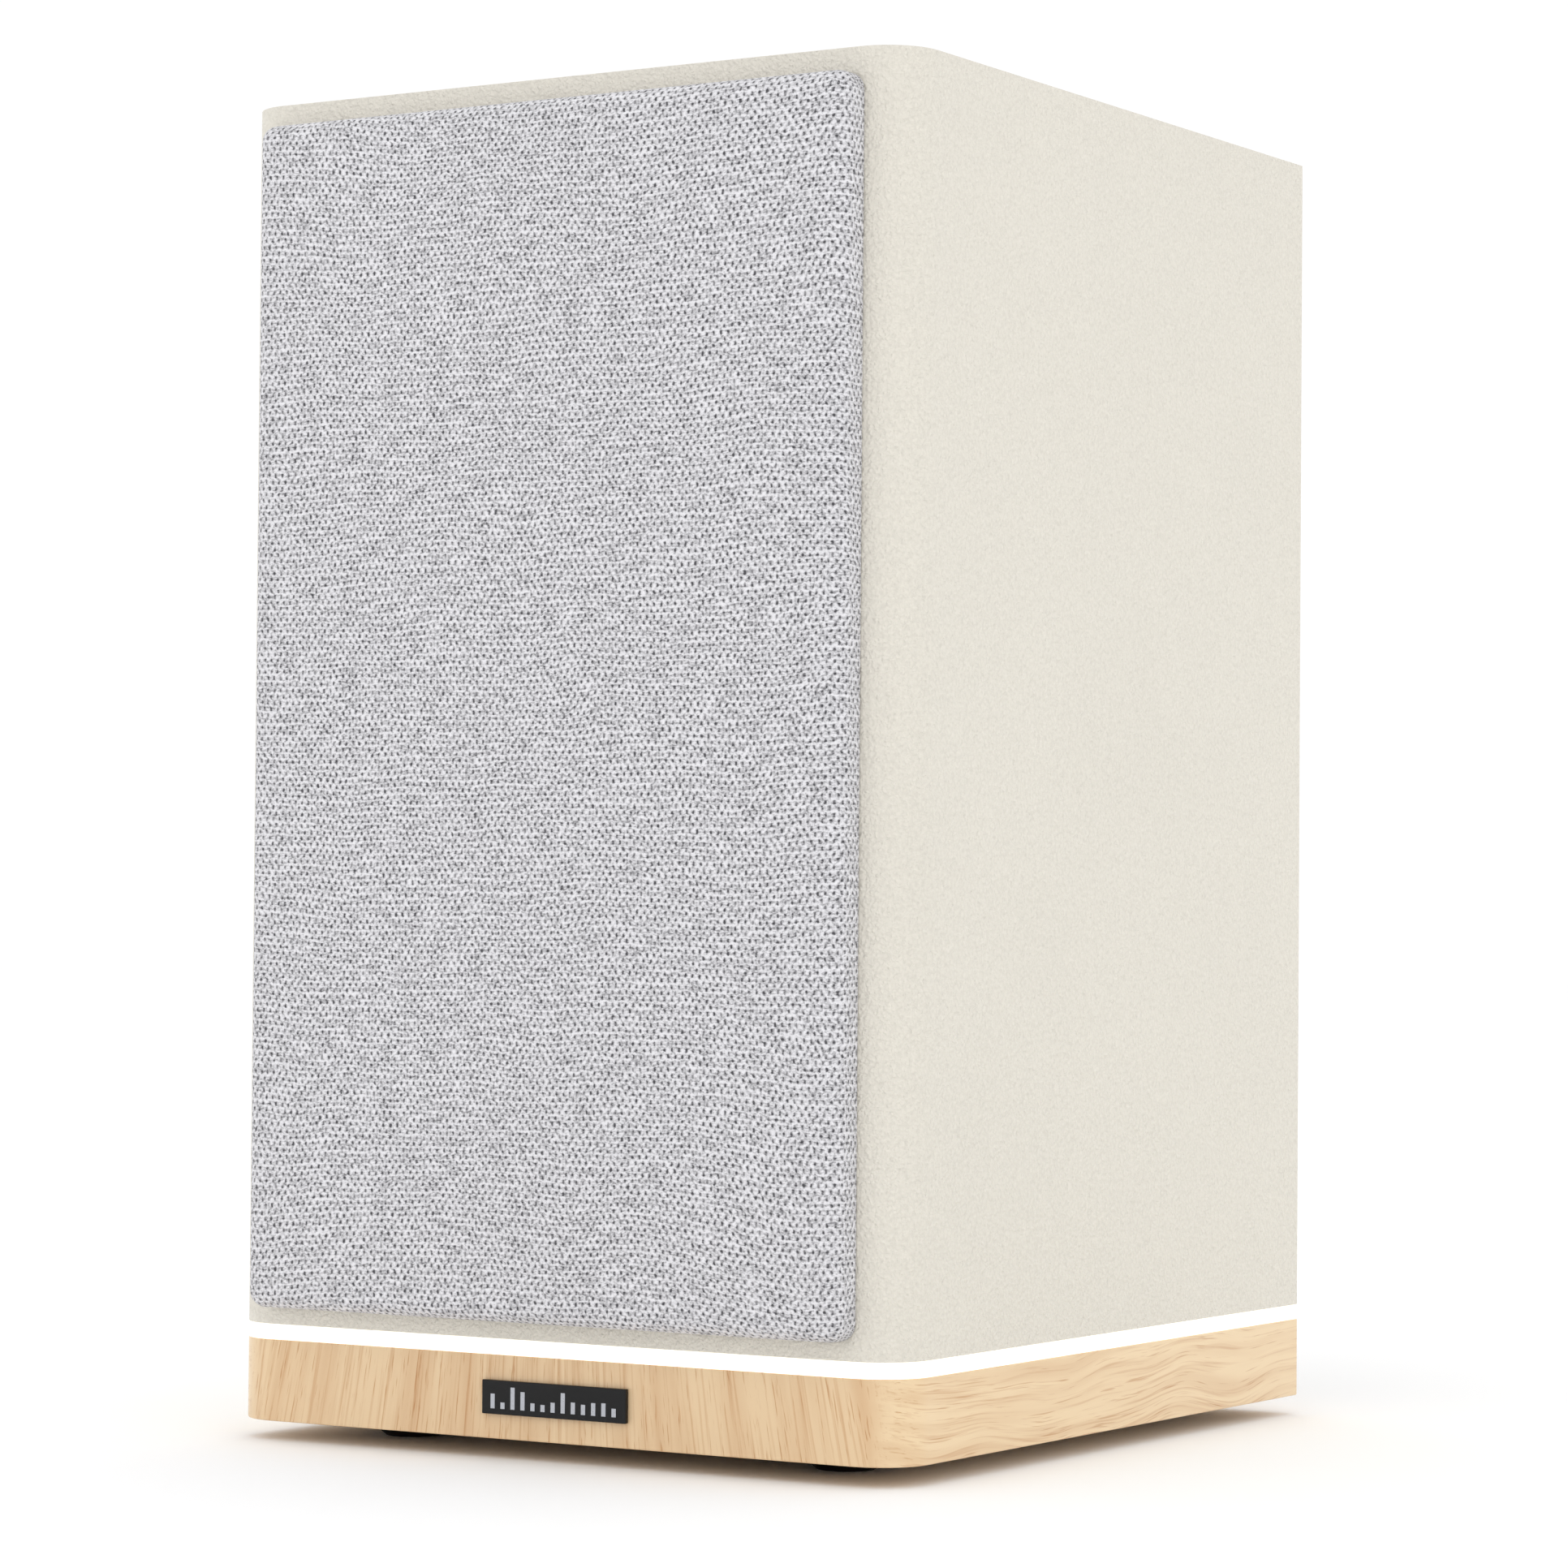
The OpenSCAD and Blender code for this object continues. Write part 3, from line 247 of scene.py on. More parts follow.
def cut(mesh, tool):
    """The mesh with a tool mesh cut out of it."""
    body, cutter = linked("cut_body", mesh), linked("cut_tool", tool)
    modifier = body.modifiers.new("cut", "BOOLEAN")
    modifier.operation, modifier.solver, modifier.object = "DIFFERENCE", "EXACT", cutter
    return baked(body, cutter)


def baked(host, *others):
    """The plain mesh of an object with its modifiers, after which it and its helpers are removed."""
    graph = bpy.context.evaluated_depsgraph_get()
    mesh = bpy.data.meshes.new_from_object(host.evaluated_get(graph), depsgraph=graph)
    for obj in (host, *others):
        bpy.data.objects.remove(obj)
    return mesh


def block(low, high, place=None):
    """A box as a mesh, in millimetres."""
    bm = bmesh.new()
    bmesh.ops.create_cube(bm, size=1)
    for v in bm.verts:
        for k in range(3):
            v.co[k] = (low[k] if v.co[k] < 0 else high[k]) * MM
    if place is not None:
        bm.transform(place)
    return mesh_of(bm)


def solid_of(node):
    """A CAD node's mesh as a bmesh, its doubled corners joined."""
    bm = bmesh.new()
    bm.from_mesh(frame["nodes"][node].data)
    bmesh.ops.remove_doubles(bm, verts=bm.verts, dist=2e-6)
    return bm


def eased(**eases):
    """Copies of CAD nodes with flat faces joined, curves shaded smooth and sharp edges broken by so many mm."""
    for node, ease in eases.items():
        bm = solid_of(node)
        bmesh.ops.dissolve_limit(bm, angle_limit=math.radians(1), verts=bm.verts, edges=bm.edges)
        obj = piece(f"{node}_made", mesh_of(bm, turn_out=False), BODIES[node], SLOTS[node], [node])
        if ease:
            bevel = obj.modifiers.new("broken edge", "BEVEL")
            bevel.width, bevel.segments, bevel.harden_normals = ease * MM, 3, True
            bevel.limit_method, bevel.angle_limit = "ANGLE", math.radians(32)


# ---------- geometry trees ----------


def new_tree(name, **sizes):
    """A geometry tree with a named input for each size, its group input, and its interface name for each keyword."""
    tree = bpy.data.node_groups.new(name, "GeometryNodeTree")
    tree.interface.new_socket("Geometry", in_out="INPUT", socket_type="NodeSocketGeometry")
    for label, kind in sizes.items():
        tree.interface.new_socket(label.replace("_", " "), in_out="INPUT", socket_type="NodeSocket" + kind)
    tree.interface.new_socket("Material", in_out="INPUT", socket_type="NodeSocketMaterial")
    tree.interface.new_socket("Geometry", in_out="OUTPUT", socket_type="NodeSocketGeometry")
    return tree, add(tree, "NodeGroupInput").outputs


def end_tree(tree, shape, given):
    """Closes a tree: its instances are made real and given their material."""
    real = add(tree, "GeometryNodeRealizeInstances", shape)
    painted = add(tree, "GeometryNodeSetMaterial", real, Material=given["Material"])
    add(tree, "NodeGroupOutput", painted)
    return tree


def grown(tree, base=None, place=None, **values):
    """The plain mesh a tree makes from a base mesh and these named values, put in place."""
    host = linked("growing", base or bpy.data.meshes.new("empty"))
    modifier = host.modifiers.new("grow", "NODES")
    modifier.node_group = tree
    named = {label.replace("_", " "): value for label, value in values.items()}
    for item in tree.interface.items_tree:
        if item.in_out == "INPUT" and item.name in named:
            modifier[item.identifier] = named.pop(item.name)
    if named:
        raise ValueError(f"{tree.name} has no input named {sorted(named)}")
    mesh = baked(host)
    if place is not None:
        mesh.transform(place)
    return mesh


def screws_tree():
    """One screw on each point of the base mesh, facing along Facing, each turned by its own amount."""
    tree, given = new_tree("screws", Screw="Object", Facing="Vector", Seed="Int")
    screw = add(tree, "GeometryNodeObjectInfo", given["Screw"], transform_space="ORIGINAL")
    facing = add(tree, "FunctionNodeAlignRotationToVector", Vector=given["Facing"], axis="Z")
    spin = add(tree, "FunctionNodeRandomValue", {2: 0.0, 3: math.tau, "Seed": given["Seed"]}, data_type="FLOAT")
    about = add(tree, "FunctionNodeAxisAngleToRotation", Axis=(0, 0, 1), Angle=spin.outputs[1])
    turned = add(tree, "FunctionNodeRotateRotation", facing, about, rotation_space="LOCAL")
    points, shape = given["Geometry"], screw.outputs["Geometry"]
    placed = add(tree, "GeometryNodeInstanceOnPoints", Points=points, Instance=shape, Rotation=turned)
    return end_tree(tree, placed, given)


def ring_tree():
    """A rounded rib at each of Count places on a circle, standing along Z."""
    tree, given = new_tree("ring of ribs", Count="Int", Radius="Float", Rib_radius="Float", Length="Float")
    circle = add(tree, "GeometryNodeMeshCircle", Vertices=given["Count"], Radius=given["Radius"])
    thick, long = given["Rib radius"], given["Length"]
    rib = add(tree, "GeometryNodeMeshCylinder", Vertices=8, Side_Segments=1, Radius=thick, Depth=long)
    placed = add(tree, "GeometryNodeInstanceOnPoints", Points=circle, Instance=rib)
    return end_tree(tree, placed, given)


def row_tree():
    """Count slabs of one size in a row, each Step from the last, and each up to Vary shorter than the full height."""
    tree, given = new_tree("row of slabs", Count="Int", Step="Vector", Size="Vector", Vary="Float", Seed="Int")
    line = add(tree, "GeometryNodeMeshLine", Count=given["Count"], Offset=given["Step"])
    slab = add(tree, "GeometryNodeMeshCube", Size=given["Size"])
    half = add(tree, "VectorMath", given["Size"], (0, 0, 0.5), operation="MULTIPLY")
    stood = add(tree, "GeometryNodeTransform", Geometry=slab, Translation=half)
    least = add(tree, "Math", 1.0, given["Vary"], operation="SUBTRACT")
    tall = add(tree, "FunctionNodeRandomValue", {2: least, 3: 1.0, "Seed": given["Seed"]}, data_type="FLOAT")
    scale = add(tree, "CombineXYZ", 1.0, 1.0, tall.outputs[1])
    placed = add(tree, "GeometryNodeInstanceOnPoints", Points=line, Instance=stood, Scale=scale)
    return end_tree(tree, placed, given)


def wire_tree():
    """Strands twisted about the base mesh's path, each a round wire."""
    tree, given = new_tree(
        "twisted wire", Wire_radius="Float", Twist_radius="Float", Turn_length="Float", Sides="Int"
    )
    path = add(tree, "GeometryNodeMeshToCurve", Mesh=given["Geometry"])
    fine = add(tree, "GeometryNodeResampleCurve", Curve=path, Length=0.002, mode="LENGTH")
    along = add(tree, "GeometryNodeSplineParameter")
    turns = add(tree, "Math", along.outputs["Length"], given["Turn length"], operation="DIVIDE")
    angle = add(tree, "Math", turns, math.tau, operation="MULTIPLY")
    tangent = add(tree, "GeometryNodeInputTangent")
    normal = add(tree, "GeometryNodeInputNormal")
    joined = add(tree, "GeometryNodeJoinGeometry")
    for start in (0.0, math.pi):
        here = add(tree, "Math", angle, start, operation="ADD")
        out = add(tree, "VectorRotate", Vector=normal, Axis=tangent, Angle=here)
        shift = add(tree, "VectorMath", out, Scale=given["Twist radius"], operation="SCALE")
        strand = add(tree, "GeometryNodeSetPosition", Geometry=fine, Offset=shift)
        tree.links.new(strand.outputs[0], joined.inputs[0])
    round_wire = add(tree, "GeometryNodeCurvePrimitiveCircle", Resolution=given["Sides"], Radius=given["Wire radius"])
    tube = add(tree, "GeometryNodeCurveToMesh", Curve=joined, Profile_Curve=round_wire, Fill_Caps=True)
    return end_tree(tree, tube, given)


def winding_tree():
    """A coil of round wire wound about Z, its turns side by side."""
    tree, given = new_tree("winding", Turns="Float", Radius="Float", Height="Float", Wire_radius="Float")
    spiral = add(tree, "GeometryNodeCurveSpiral", Resolution=40, Rotations=given["Turns"], Height=given["Height"])
    for end in ("Start Radius", "End Radius"):
        tree.links.new(given["Radius"], spiral.inputs[end])
    wire = add(tree, "GeometryNodeCurvePrimitiveCircle", Resolution=6, Radius=given["Wire radius"])
    tube = add(tree, "GeometryNodeCurveToMesh", Curve=spiral, Profile_Curve=wire, Fill_Caps=True)
    return end_tree(tree, tube, given)


def lamps_tree():
    """A lamp every Pitch along the base mesh's closed path, its lens facing out, on a thin ribbon."""
    tree, given = new_tree("lamps", Pitch="Float", Lamp="Vector", Ribbon="Float")
    path = add(tree, "GeometryNodeMeshToCurve", Mesh=given["Geometry"])
    even = add(tree, "GeometryNodeResampleCurve", Curve=path, Length=given["Pitch"], mode="LENGTH")
    lamp = add(tree, "GeometryNodeMeshCube", Size=given["Lamp"])
    facing = add(tree, "FunctionNodeAlignRotationToVector", Vector=add(
        tree, "GeometryNodeInputTangent"
    ), axis="X", pivot_axis="Z")
    placed = add(tree, "GeometryNodeInstanceOnPoints", Points=even, Instance=lamp, Rotation=facing)
    edge = add(tree, "GeometryNodeCurvePrimitiveQuadrilateral", 0.0003, given["Ribbon"])
    strip = add(tree, "GeometryNodeCurveToMesh", Curve=path, Profile_Curve=edge, Fill_Caps=True)
    joined = add(tree, "GeometryNodeJoinGeometry")
    for shape in (placed, strip):
        tree.links.new(shape.outputs[0], joined.inputs[0])
    return end_tree(tree, joined, given)


def parts_tree():
    """Small parts scattered over the base mesh's faces, all square to the board, no two nearer than Apart."""
    tree, given = new_tree("small parts", Apart="Float", Size="Vector", Seed="Int")
    where = {"Mesh": given["Geometry"], "Distance Min": given["Apart"], "Density Max": 40000.0, "Seed": given["Seed"]}
    points = add(tree, "GeometryNodeDistributePointsOnFaces", where, distribute_method="POISSON")
    body = add(tree, "GeometryNodeMeshCube", Size=given["Size"])
    quarter = add(tree, "FunctionNodeRandomValue", {4: 0, 5: 1, "Seed": given["Seed"]}, data_type="INT")
    angle = add(tree, "Math", quarter.outputs[2], math.pi / 2, operation="MULTIPLY")
    spin = add(tree, "CombineXYZ", {2: angle})
    placed = add(tree, "GeometryNodeInstanceOnPoints", Points=points, Instance=body, Rotation=spin)
    return end_tree(tree, placed, given)


# ---------- finishes ----------


def finish(slot):
    """The material of a slot, made when it is first asked for."""
    name = f"{slot}_finish"
    if name not in bpy.data.materials:
        make, values, named = FINISHES[slot]
        make(name, *values, **named)
    return bpy.data.materials[name]


def start(name, colour, roughness, **sockets):
    """A material with a uniform shader, and Object coordinates in millimetres for its patterns."""
    material = bpy.data.materials.new(name)
    material.use_nodes = True
    tree = material.node_tree
    shader = tree.nodes["Principled BSDF"]
    shader.inputs["Base Color"].default_value = linear(colour)
    shader.inputs["Roughness"].default_value = roughness
    for label, value in sockets.items():
        shader.inputs[label.replace("_", " ")].default_value = value
    where = add(tree, "TexCoord")
    mm = add(tree, "VectorMath", where.outputs["Object"], Scale=1000.0, operation="SCALE")
    return tree, shader, mm


def two_tone(tree, shader, factor, low, high):
    """Colours the shader from low to high by a factor."""
    mixed = add(tree, "Mix", {0: factor, 6: linear(low), 7: linear(high)}, data_type="RGBA")
    tree.links.new(mixed.outputs[2], shader.inputs["Base Color"])


def gloss_by(tree, shader, factor, low, high, **ends):
    """Lets a factor carry the roughness from low to high."""
    gloss = add(tree, "MapRange", Value=factor, To_Min=low, To_Max=high, **ends)
    tree.links.new(gloss.outputs[0], shader.inputs["Roughness"])


def raise_by(tree, shader, height, mm):
    """Bumps the surface by a height of 0 to 1, whose full rise is given in millimetres."""
    bump = add(tree, "Bump", Height=height, Distance=mm * MM, Strength=1.0)
    tree.links.new(bump.outputs[0], shader.inputs["Normal"])


def shade(hex_colour, factor):
    """A hex colour made lighter or darker."""
    parts = [min(255, round(int(hex_colour[i : i + 2], 16) * factor)) for i in (1, 3, 5)]
    return "#%02x%02x%02x" % tuple(parts)


def moulded(name, colour, roughness=0.5, grain=0.4, depth=0.02, gloss_spread=0.12, **sockets):
    """Moulded or sprayed surfaces: a fine spark-eroded grain, with gloss that drifts a little from place to place."""
    tree, shader, mm = start(name, colour, roughness, **sockets)
    fine = add(tree, "TexNoise", Vector=mm, Scale=1 / grain, Detail=2.0)
    broad = add(tree, "TexNoise", Vector=mm, Scale=1 / 22, Detail=3.0)
    two_tone(tree, shader, broad, shade(colour, 0.9), shade(colour, 1.1))
    spread = gloss_spread / 2
    gloss_by(tree, shader, broad, roughness - spread, roughness + spread, From_Min=0.3, From_Max=0.7)
    raise_by(tree, shader, fine, depth)


def metal(name, colour, roughness=0.3, brush=(1.0, 1.0, 1.0), depth=0.006, **sockets):
    """Bare or plated metal: fine tool marks, stretched along the way it was turned, drawn or brushed."""
    tree, shader, mm = start(name, colour, roughness, Metallic=1.0, **sockets)
    drawn = add(tree, "Mapping", Vector=mm, Scale=brush)
    marks = add(tree, "TexNoise", Vector=drawn, Scale=2.2, Detail=4.0, Roughness=0.6)
    gloss_by(tree, shader, marks, roughness * 0.7, roughness * 1.35, From_Min=0.25, From_Max=0.75)
    two_tone(tree, shader, marks, shade(colour, 0.92), shade(colour, 1.06))
    raise_by(tree, shader, marks, depth)


def leather_grain_vinyl(name):
    """PVC vinyl, embossed with a leather grain: soft satin pebbles with narrow creases between them, the creases
    painted darker as shade.
    """
    sizes, colours = bpy.context.scene.speaker_sizes, bpy.context.scene.speaker_colours
    tree, shader, mm = start(name, colours.vinyl, 0.46, IOR=1.53)
    bend = add(tree, "TexNoise", Vector=mm, Scale=0.6, Detail=2.0)
    swayed = add(tree, "VectorMath", mm, bend.outputs["Color"], operation="ADD")
    pebbles = add(tree, "TexVoronoi", Vector=swayed, Scale=MM / sizes.pebble, Smoothness=0.4, feature="SMOOTH_F1")
    small = add(tree, "TexNoise", Vector=mm, Scale=2.4, Detail=3.0, Roughness=0.6)
    grain = add(tree, "Math", pebbles, -1.0, small, operation="MULTIPLY_ADD")
    crease = add(tree, "MapRange", Value=pebbles, From_Min=0.4, From_Max=0.85)
    drift = add(tree, "TexNoise", Vector=mm, Scale=1 / 60, Detail=2.0)
    # Painted shade: the creases between the pebbles are coloured darker, added to the vinyl's own slow drift of tone
    crease_shade = add(tree, "Math", crease, 0.36, operation="MULTIPLY")
    tone = add(tree, "Math", drift, 0.3, crease_shade, operation="MULTIPLY_ADD")
    two_tone(tree, shader, tone, colours.vinyl, shade(colours.vinyl, 0.92))
    gloss_by(tree, shader, crease, 0.42, 0.6)
    raise_by(tree, shader, grain, 0.4)


def melange_knit(name):
    """Polyester speaker cloth, warp-knitted from light and dark grey yarns: staggered rows of pinholes between loops."""
    sizes, colours = bpy.context.scene.speaker_sizes, bpy.context.scene.speaker_colours
    tree, shader, _ = start(name, colours.cloth_light, 0.85, Sheen_Weight=0.25, Sheen_Roughness=0.5)
    lay = add(tree, "UVMap", uv_map="cloth")
    sway = add(tree, "TexNoise", Vector=lay, Scale=22.0, Detail=2.0)
    off = add(tree, "VectorMath", sway.outputs["Color"], (0.5, 0.5, 0.5), operation="SUBTRACT")
    swayed = add(tree, "VectorMath", off, (0.0015, 0.006, 0.0), lay, operation="MULTIPLY_ADD")
    wobble = add(tree, "TexNoise", Vector=lay, Scale=420.0, Detail=1.0)
    jitter = add(tree, "VectorMath", wobble.outputs["Color"], (0.5, 0.5, 0.5), operation="SUBTRACT")
    thread = add(tree, "VectorMath", jitter, (0.0007, 0.0005, 0.0), swayed, operation="MULTIPLY_ADD")
    axes = add(tree, "SeparateXYZ", thread)
    waves = []
    for axis, length in (("X", sizes.stitch_w), ("Y", 2 * sizes.stitch_h)):
        phase = add(tree, "Math", axes.outputs[axis], math.tau / length, operation="MULTIPLY")
        waves.append(add(tree, "Math", phase, operation="COSINE"))
    lattice = add(tree, "Math", waves[0], waves[1], operation="MULTIPLY")
    hole = add(tree, "MapRange", Value=lattice, From_Min=0.1, From_Max=1.0, interpolation_type="SMOOTHSTEP")
    # Slubs: light and dark runs of yarn, each one row high and several stitches long
    along = add(tree, "VectorMath", thread, (170.0, 1 / sizes.stitch_h, 1.0), operation="MULTIPLY")
    slub = add(tree, "TexNoise", Vector=along, Scale=1.0, Detail=1.0, Roughness=0.6)
    # Plies: short flecks within a stitch, drawn about twice their real length so that they can be seen
    stitch = add(tree, "VectorMath", thread, (1 / 0.0009, 1 / 0.0005, 1.0), operation="MULTIPLY")
    fibre = add(tree, "TexNoise", Vector=stitch, Scale=1.0, Detail=2.0, Roughness=0.6)
    yarn = add(tree, "Math", fibre, 0.75, -0.03, operation="MULTIPLY_ADD")
    yarn = add(tree, "Math", slub, 0.26, yarn, operation="MULTIPLY_ADD")
    dark = add(tree, "MapRange", Value=yarn, From_Min=0.42, From_Max=0.68, To_Max=0.92)
    pit = add(tree, "Math", hole, 0.74, dark, operation="MULTIPLY_ADD", use_clamp=True)
    two_tone(tree, shader, pit, colours.cloth_light, colours.cloth_dark)
    loops = add(tree, "Math", lattice, -0.6, fibre, operation="MULTIPLY_ADD")
    raise_by(tree, shader, loops, 0.4)


def pale_wood(name):
    """Pale wood under satin lacquer: upright streaks on the front, long wavy figure on the sides, and painted shade
    on the front.
    """
    colours = bpy.context.scene.speaker_colours
    tree, shader, mm = start(name, colours.wood, 0.38, Coat_Weight=0.25, Coat_Roughness=0.3)
    place = add(tree, "SeparateXYZ", mm)
    # On the front the streaks stand upright in the middle and lean outwards towards the sides
    lean = add(tree, "Math", place.outputs["X"], 1 / 60, operation="MULTIPLY")
    lean = add(tree, "Math", lean, operation="SINE")
    drop = add(tree, "Math", place.outputs["Z"], 14.0, operation="SUBTRACT")
    lean = add(tree, "Math", lean, drop, operation="MULTIPLY")
    across = add(tree, "Math", lean, 0.22, place.outputs["X"], operation="MULTIPLY_ADD")
    front = add(tree, "CombineXYZ", across, place.outputs["Y"], place.outputs["Z"])
    # On the sides the figure runs along the depth, in long slow waves
    swell = add(tree, "VectorMath", mm, (0.01, 0.014, 0.02), operation="MULTIPLY")
    swell = add(tree, "TexNoise", Vector=swell, Scale=1.0, Detail=1.5)
    high = add(tree, "Math", swell, 24.0, place.outputs["Z"], operation="MULTIPLY_ADD")
    side = add(tree, "CombineXYZ", place.outputs["X"], place.outputs["Y"], high)
    facing = add(tree, "SeparateXYZ", add(tree, "NewGeometry").outputs["Normal"])
    sideways = add(tree, "Math", facing.outputs["X"], operation="ABSOLUTE")
    turn = add(tree, "MapRange", Value=sideways, From_Min=0.3, From_Max=0.75, interpolation_type="SMOOTHSTEP")
    shares = []
    # (grain runs per mm on the front, on the side, where the dark starts and is full, how dark)
    for on_front, on_side, low, full, most in (
        ((0.16, 0.16, 0.01), (0.1, 0.012, 0.25), 0.42, 0.72, 0.3),
        ((0.9, 0.9, 0.022), (0.3, 0.03, 1.2), 0.53, 0.72, 0.42),
        ((2.2, 2.2, 0.12), (0.6, 0.06, 2.0), 0.61, 0.7, 0.5),
    ):
        looks = []
        for where, stretch in ((front, on_front), (side, on_side)):
            run = add(tree, "VectorMath", where, stretch, operation="MULTIPLY")
            looks.append(add(tree, "TexNoise", Vector=run, Scale=1.0, Detail=2.0, Roughness=0.55))
        both = add(tree, "Mix", {0: turn, 2: looks[0], 3: looks[1]}, data_type="FLOAT")
        shares.append(add(tree, "MapRange", Value=both, From_Min=low, From_Max=full, To_Max=most))
    lines = add(tree, "Math", shares[1], shares[2], operation="ADD")
    tone = add(tree, "Math", lines, shares[0], operation="ADD")
    # Painted shade: the front is coloured darker than the sides, as if it stood in shade
    tone = add(tree, "Math", turn, -0.16, tone, operation="MULTIPLY_ADD")
    tone = add(tree, "Math", tone, 0.16, operation="ADD", use_clamp=True)
    two_tone(tree, shader, tone, colours.wood, colours.wood_line)
    raise_by(tree, shader, add(tree, "Math", 1.0, lines, operation="SUBTRACT"), 0.02)


def opal_diffuser(name):
    """Opal acrylic, lit from behind by the lamps: an even white glow, a trace warmer than the daylight around it."""
    colours = bpy.context.scene.speaker_colours
    tree, shader, mm = start(
        name, "#fbfaf4", 0.35, IOR=1.49, Emission_Strength=colours.glow, Emission_Color=linear(colours.band)
    )
    cloud = add(tree, "TexNoise", Vector=mm, Scale=1 / 9, Detail=2.0)
    two_tone(tree, shader, cloud, "#f6f4ec", "#ffffff")
    raise_by(tree, shader, cloud, 0.02)


def fibrous(
    name, colour, roughness, tones, depth, stretch=None, scale=1.0, detail=4.0, tangle=0.75, warp=0.0, **sockets
):
    """Loose or pressed fibres: flecks between two tones, stretched along the way they lie."""
    tree, shader, mm = start(name, colour, roughness, **sockets)
    if stretch:
        mm = add(tree, "VectorMath", mm, stretch, operation="MULTIPLY")
    fibres = add(tree, "TexNoise", Vector=mm, Scale=scale, Detail=detail, Roughness=tangle, Distortion=warp)
    two_tone(tree, shader, fibres, *tones)
    raise_by(tree, shader, fibres, depth)


def plain_weave(name, colour, pitch=0.6, depth=0.1, roughness=0.7, **sockets):
    """Fine woven cloth, coated or doped: two sets of crossing threads."""
    tree, shader, mm = start(name, colour, roughness, **sockets)
    waves = []
    for along in ("X", "Z"):
        scale = 1 / (3.2 * pitch)
        wave = add(tree, "TexWave", Vector=mm, Scale=scale, Distortion=0.4, Detail=1.0, bands_direction=along)
        waves.append(wave.outputs["Fac"])
    woven = add(tree, "Math", waves[0], waves[1], operation="MULTIPLY")
    two_tone(tree, shader, woven, shade(colour, 0.65), shade(colour, 1.2))
    raise_by(tree, shader, woven, depth)


def circuit_board(name):
    """Glass-epoxy board under green solder mask, with tracks that show through as paler lines."""
    tree, shader, mm = start(name, "#1b5a38", 0.32, Coat_Weight=0.3)
    tracks = add(tree, "TexVoronoi", Vector=mm, Scale=0.16, Randomness=0.6, feature="F1", distance="CHEBYCHEV")
    saw = add(tree, "Math", tracks, 9.0, operation="MULTIPLY")
    ring = add(tree, "Math", saw, operation="FRACT")
    line = add(tree, "Math", ring, 0.62, operation="GREATER_THAN")
    two_tone(tree, shader, line, "#174c30", "#2c7a4c")
    raise_by(tree, shader, line, 0.04)


def made_by(make, *values, **named):
    """One row of the table of finishes: its maker, and what the maker is given."""
    return make, values, named


